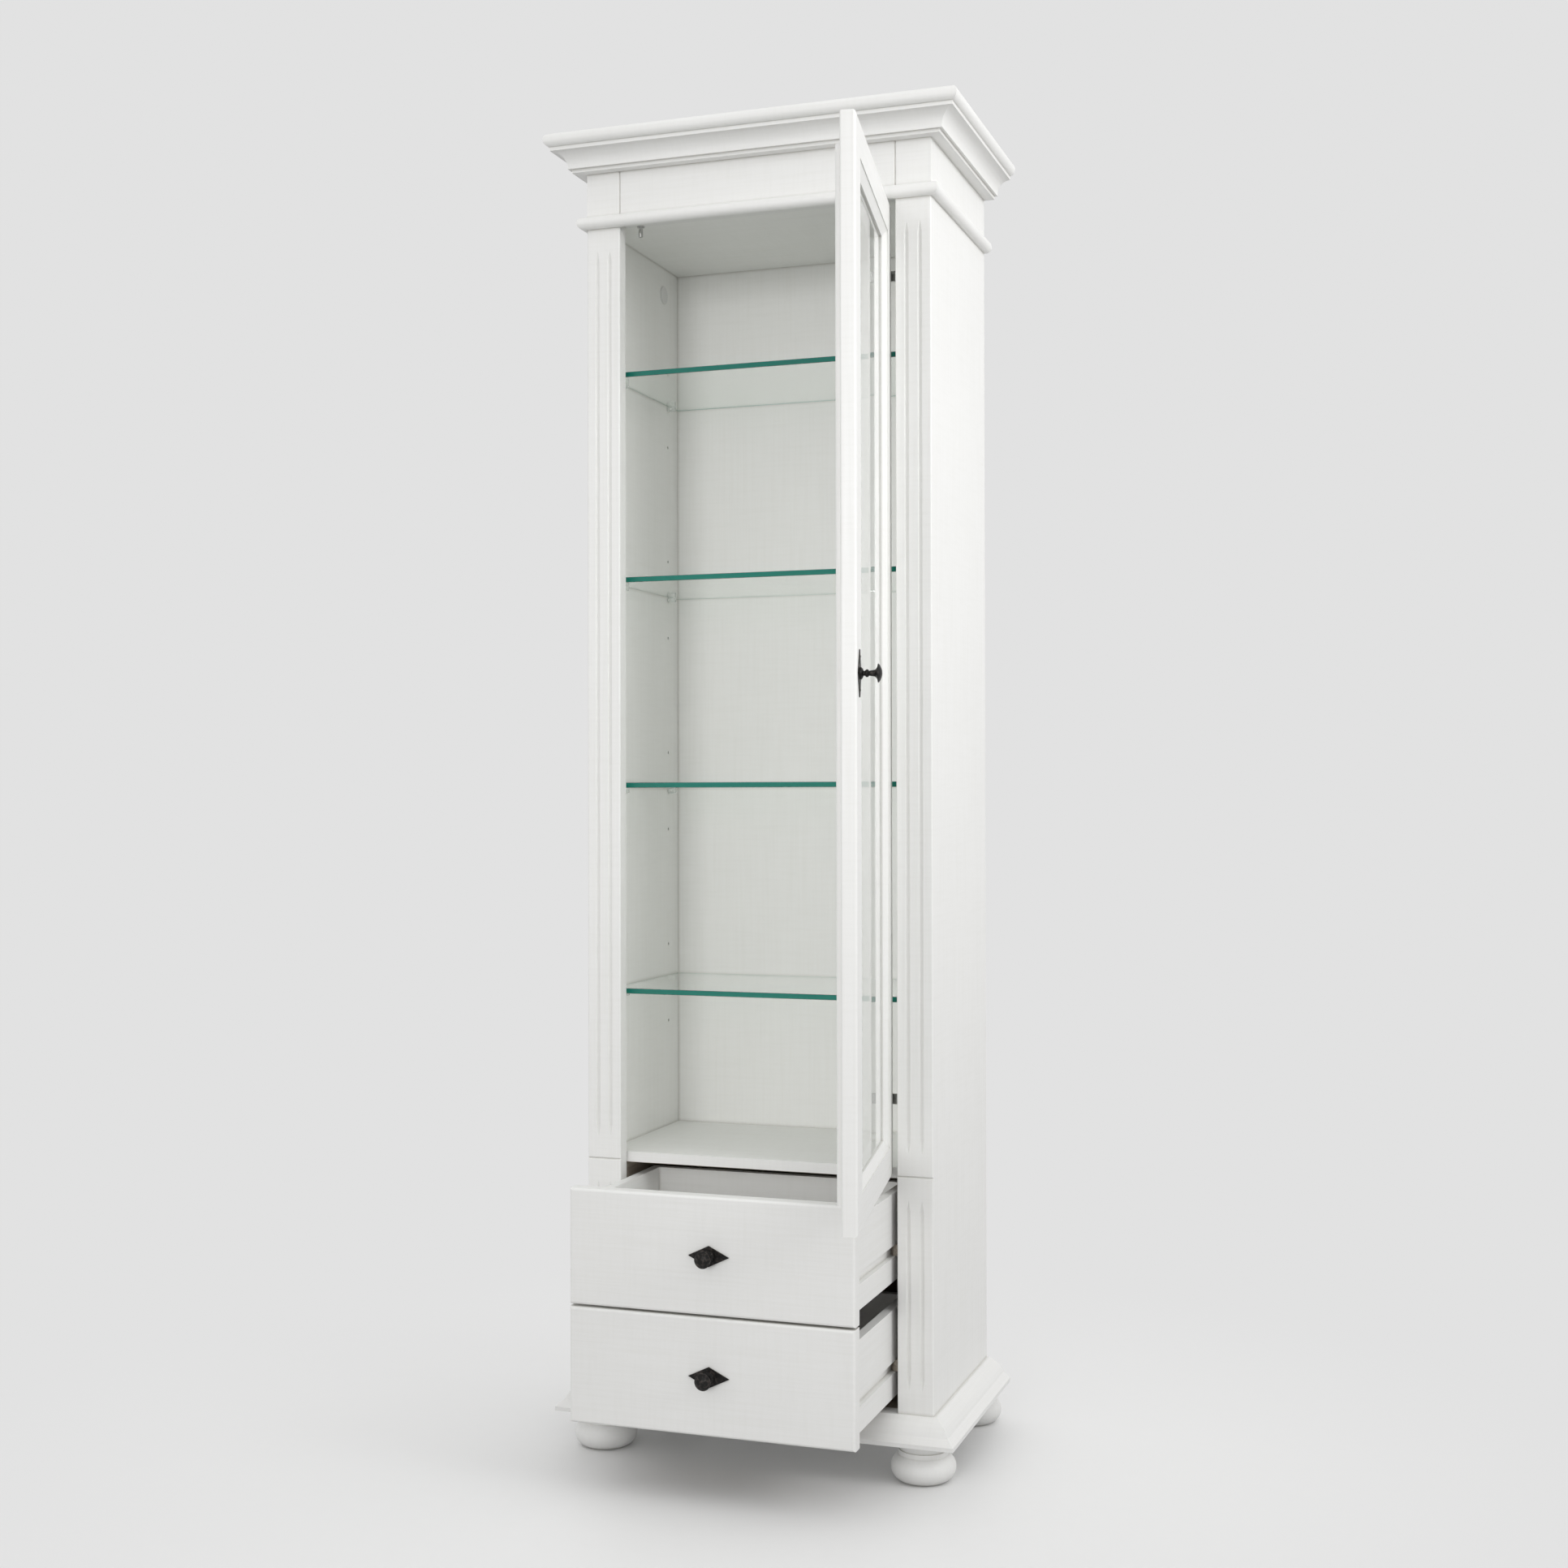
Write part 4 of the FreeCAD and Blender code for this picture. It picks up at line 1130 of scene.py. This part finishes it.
@dataclass
class GlazedDoor:
    """Framed glass door, stored open, with its knob and the door side of its hinges."""

    upright: tuple[str, ...] = ("door_stile_hinge", "door_stile_free", "glazing_beads_upright")
    level: tuple[str, ...] = ("door_rail_top", "door_rail_bottom", "glazing_beads_level")
    turn: float = math.radians(100.0)
    pivot: Vector = field(default_factory=lambda: Vector((0.1995, 0.0085, 0.0)))
    thickness: float = 21.0 * MM
    wing_face: float = 22.2 * MM
    wing_centre: float = 199.0 * MM
    wing_rise: float = 18.0 * MM
    cup_screw: CrossScrew = CrossScrew(3.4 * MM, 1.1 * MM)
    cup_screw_roll: float = 0.3

    def opened(self, point: Vector) -> Vector:
        """Take a point of the closed door to where the open door holds it."""
        return self.pivot + Matrix.Rotation(self.turn, 3, "Z") @ (point - self.pivot)

    def build(self) -> None:
        """Dress the frame and pane, and add the knob's nails and the hinge screws."""
        dress(self.upright, PaintedWood(Grain.ALONG_Z, self.turn))
        dress(self.level, PaintedWood(Grain.ALONG_X, self.turn))
        dress(["door_glass"], PANE_GLASS)
        dress(["hinge_cups", "hinge_pins"], HINGE_STEEL)
        outward = Matrix.Rotation(self.turn, 3, "Z") @ Vector((0, -1, 0))
        KnobPlate(Body.DOOR, outward, Vector((0, 0, 1)), self.thickness).build()
        self.screw_cups(-outward)

    def screw_cups(self, inward: Vector) -> None:
        """Screw the wings of the hinge cups to the stile.

        Args:
            inward: normal of the stile's inner face.
        """
        places = []
        for level in HINGE_LEVELS:
            for side in (-1, 1):
                closed = Vector((self.wing_centre, self.wing_face, level + side * self.wing_rise))
                places.append(Bench.facing(self.opened(closed), inward, self.cup_screw_roll * side))
        fit(self.cup_screw, "hinge_cup_screws", places, Body.DOOR, HINGE_STEEL)


@dataclass
class HingeArms:
    """Fixed side of the hinges: arms and plates on the right-hand side, with their screws."""

    plate_face: float = 251.0 * MM
    plate_screw: CrossScrew = CrossScrew(3.4 * MM, 1.1 * MM)
    plate_screw_depth: float = 63.0 * MM
    plate_screw_rise: float = 15.5 * MM
    plate_screw_rolls: tuple[float, ...] = (0.3, 0.7)
    foot_face: float = 248.0 * MM
    foot_screw: CrossScrew = CrossScrew(3.8 * MM, 1.5 * MM)
    foot_screw_depths: tuple[float, ...] = (50.0 * MM, 68.0 * MM)
    foot_screw_rolls: tuple[float, ...] = (1.0, 1.36)

    def build(self) -> None:
        """Dress the arms and plates and add their screws."""
        dress(["hinge_arms", "hinge_plates"], HINGE_STEEL)
        inward = Vector((-1, 0, 0))
        plates, feet = [], []
        for level in HINGE_LEVELS:
            for side, roll in zip((-1, 1), self.plate_screw_rolls):
                height = level + side * self.plate_screw_rise
                point = Vector((self.plate_face, self.plate_screw_depth, height))
                plates.append(Bench.facing(point, inward, roll))
            for depth, roll in zip(self.foot_screw_depths, self.foot_screw_rolls):
                feet.append(Bench.facing(Vector((self.foot_face, depth, level)), inward, roll))
        fit(self.plate_screw, "hinge_plate_screws", plates, Body.CABINET, HINGE_STEEL)
        fit(self.foot_screw, "hinge_arm_screws", feet, Body.CABINET, HINGE_STEEL)


@dataclass
class Drawer:
    """Drawer on wooden runners, stored partly pulled out."""

    body: Body
    front_thickness: float = 21.0 * MM
    face_reach: float = 0.5 * MM

    def underside(self) -> CoatSpace:
        """Find the unpainted lower face of the drawer's bottom board, whose bare-board tone is also painted
        shade for the gap below.

        Returns:
            A thin space round that face.
        """
        low, high = (Vector(corner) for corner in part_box(f"{self.body.value}_bottom"))
        reach = Vector((self.face_reach,) * 3)
        high.z = low.z
        # partly bare hardboard, partly painted shade: darkens the gap under the drawer
        name = f"{self.body.value}_bare_underside"
        return CoatSpace(name, tuple(low - reach), tuple(high + reach), BARE_BOARD_AND_SHADE)

    def build(self) -> None:
        """Dress the box and front, and add the knob's fittings."""
        name = self.body.value
        dress([f"{name}_front", f"{name}_back"], PaintedWood(Grain.ALONG_X))
        dress([f"{name}_bottom"], PaintedWood(Grain.ALONG_X, spaces=(self.underside(),)))
        dress([f"{name}_sides"], PaintedWood(Grain.ALONG_Y))
        KnobPlate(self.body, Vector((0, -1, 0)), Vector((1, 0, 0)), self.front_thickness).build()


@dataclass(frozen=True)
class Lamp:
    """Square soft lamp with a beam of limited width."""

    name: str
    place: Point
    aim: Point
    size: float
    power: float
    beam: float

    def hang(self) -> None:
        """Hang the lamp so that it faces its aim."""
        light = bpy.data.lights.new(self.name, "AREA")
        light.shape, light.size, light.energy, light.spread = "SQUARE", self.size, self.power, self.beam
        piece = bpy.data.objects.new(self.name, light)
        bpy.context.scene.collection.objects.link(piece)
        piece.location = self.place
        piece.rotation_euler = (Vector(self.aim) - Vector(self.place)).to_track_quat("-Z", "Y").to_euler()


@dataclass
class Studio:
    """Pale floor, soft lamps and the camera at the photograph's angle."""

    camera_place: Point = (1.0139, -2.8054, 0.9901)
    camera_pitch: float = math.radians(90.38)
    camera_yaw: float = math.radians(19.04)
    camera_roll: float = math.radians(-0.10)
    lens: float = 46.05
    sensor: float = 36.0
    background: Colour = (0.76, 0.76, 0.76)
    floor_tone: Colour = (0.9, 0.9, 0.895)
    floor_dullness: float = 0.985
    floor_repeats: float = 40.0
    floor_bounce: Colour = (0.56, 0.56, 0.56)
    ambient: float = 0.84
    floor_size: float = 60.0
    fade_start: float = 0.3
    fade_end: float = 1.3
    lamps: tuple[Lamp, ...] = (
        Lamp("front_lamp", (0.2, -6.0, 2.0), (0.0, 0.0, 1.25), 1.6, 4.9, math.radians(40.0)),
        Lamp("right_lamp", (2.5, -0.6, 2.1), (0.1, 0.1, 1.6), 1.4, 9.4, math.radians(90.0)),
    )

    def build(self) -> None:
        """Set up the view, the world, the floor, the lamps and the camera."""
        bpy.context.scene.view_settings.view_transform = "Standard"
        self.light_world()
        self.lay_floor()
        for lamp in self.lamps:
            lamp.hang()
        self.set_camera()

    def light_world(self) -> None:
        """Even ambient light, with the pale background where the world itself is seen."""
        world = bpy.data.worlds.new("pale_room")
        bpy.context.scene.world = world
        world.use_nodes = True
        tree = world.node_tree
        tree.nodes.clear()
        lit, seen = tree.nodes.new("ShaderNodeBackground"), tree.nodes.new("ShaderNodeBackground")
        lit.inputs["Color"].default_value = (1.0, 1.0, 1.0, 1.0)
        lit.inputs["Strength"].default_value = self.ambient
        seen.inputs["Color"].default_value = (*self.background, 1.0)
        seen.inputs["Strength"].default_value = 1.0
        mix, output = tree.nodes.new("ShaderNodeMixShader"), tree.nodes.new("ShaderNodeOutputWorld")
        for source, target in zip((any_ray(tree, SEEN_RAYS), lit.outputs[0], seen.outputs[0]), mix.inputs):
            tree.links.new(source, target)
        tree.links.new(mix.outputs[0], output.inputs["Surface"])

    def lay_floor(self) -> None:
        """Lay a pale floor that keeps the cabinet's shadow and fades into the background."""
        Bench.clear()
        bpy.ops.mesh.primitive_plane_add(size=self.floor_size, location=(0, 0, 0))
        floor = bpy.context.object
        floor.name = floor.data.name = "floor"
        graph = Graph("pale_floor")
        coordinates = graph.add("ShaderNodeTexCoord")
        distance = graph.add("ShaderNodeVectorMath", operation="LENGTH")
        graph.join(coordinates.outputs["Object"], distance.inputs[0])
        far = graph.span(distance.outputs["Value"], self.fade_start, self.fade_end)
        seen = any_ray(graph.tree, SEEN_RAYS)
        seen_far = graph.add("ShaderNodeMath", operation="MULTIPLY")
        graph.join(far, seen_far.inputs[0])
        graph.join(seen, seen_far.inputs[1])
        grain = graph.noise(graph.place(even(self.floor_repeats)), detail=3.0)
        dull_tone = tuple(part * self.floor_dullness for part in self.floor_tone)
        tone = graph.blend(grain, self.floor_tone, dull_tone)
        tone = graph.tint(tone, graph.span(seen, 0.0, 1.0, 1.0, 0.0), self.floor_bounce)
        shader = graph.surface({"Roughness": 0.45, "Specular IOR Level": 0.25}, {"Base Color": tone})
        glow = graph.add("ShaderNodeEmission", {"Color": (*self.background, 1.0), "Strength": 1.0})
        graph.show_mix(seen_far.outputs["Value"], shader.outputs["BSDF"], glow.outputs["Emission"])
        floor.data.materials.append(graph.material)

    def set_camera(self) -> None:
        """Stand the camera where the photograph was taken."""
        data = bpy.data.cameras.new("photo_camera")
        data.lens, data.sensor_width = self.lens, self.sensor
        camera = bpy.data.objects.new("photo_camera", data)
        bpy.context.scene.collection.objects.link(camera)
        camera.location = self.camera_place
        turned = Matrix.Rotation(self.camera_yaw, 3, "Z") @ Matrix.Rotation(self.camera_pitch, 3, "X")
        camera.rotation_euler = (turned @ Matrix.Rotation(self.camera_roll, 3, "Z")).to_euler()
        bpy.context.scene.camera = camera


def main() -> None:
    """Build the sub-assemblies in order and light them."""
    logging.basicConfig(level=logging.INFO, format="%(name)s: %(message)s")
    assemblies = (
        Studio(),
        Carcass(),
        Shelving(),
        HingeArms(),
        GlazedDoor(),
        Drawer(Body.LOWER_DRAWER),
        Drawer(Body.UPPER_DRAWER),
    )
    for assembly in assemblies:
        LOG.info("building %s", type(assembly).__name__)
        assembly.build()


if __name__ == "__main__":
    main()
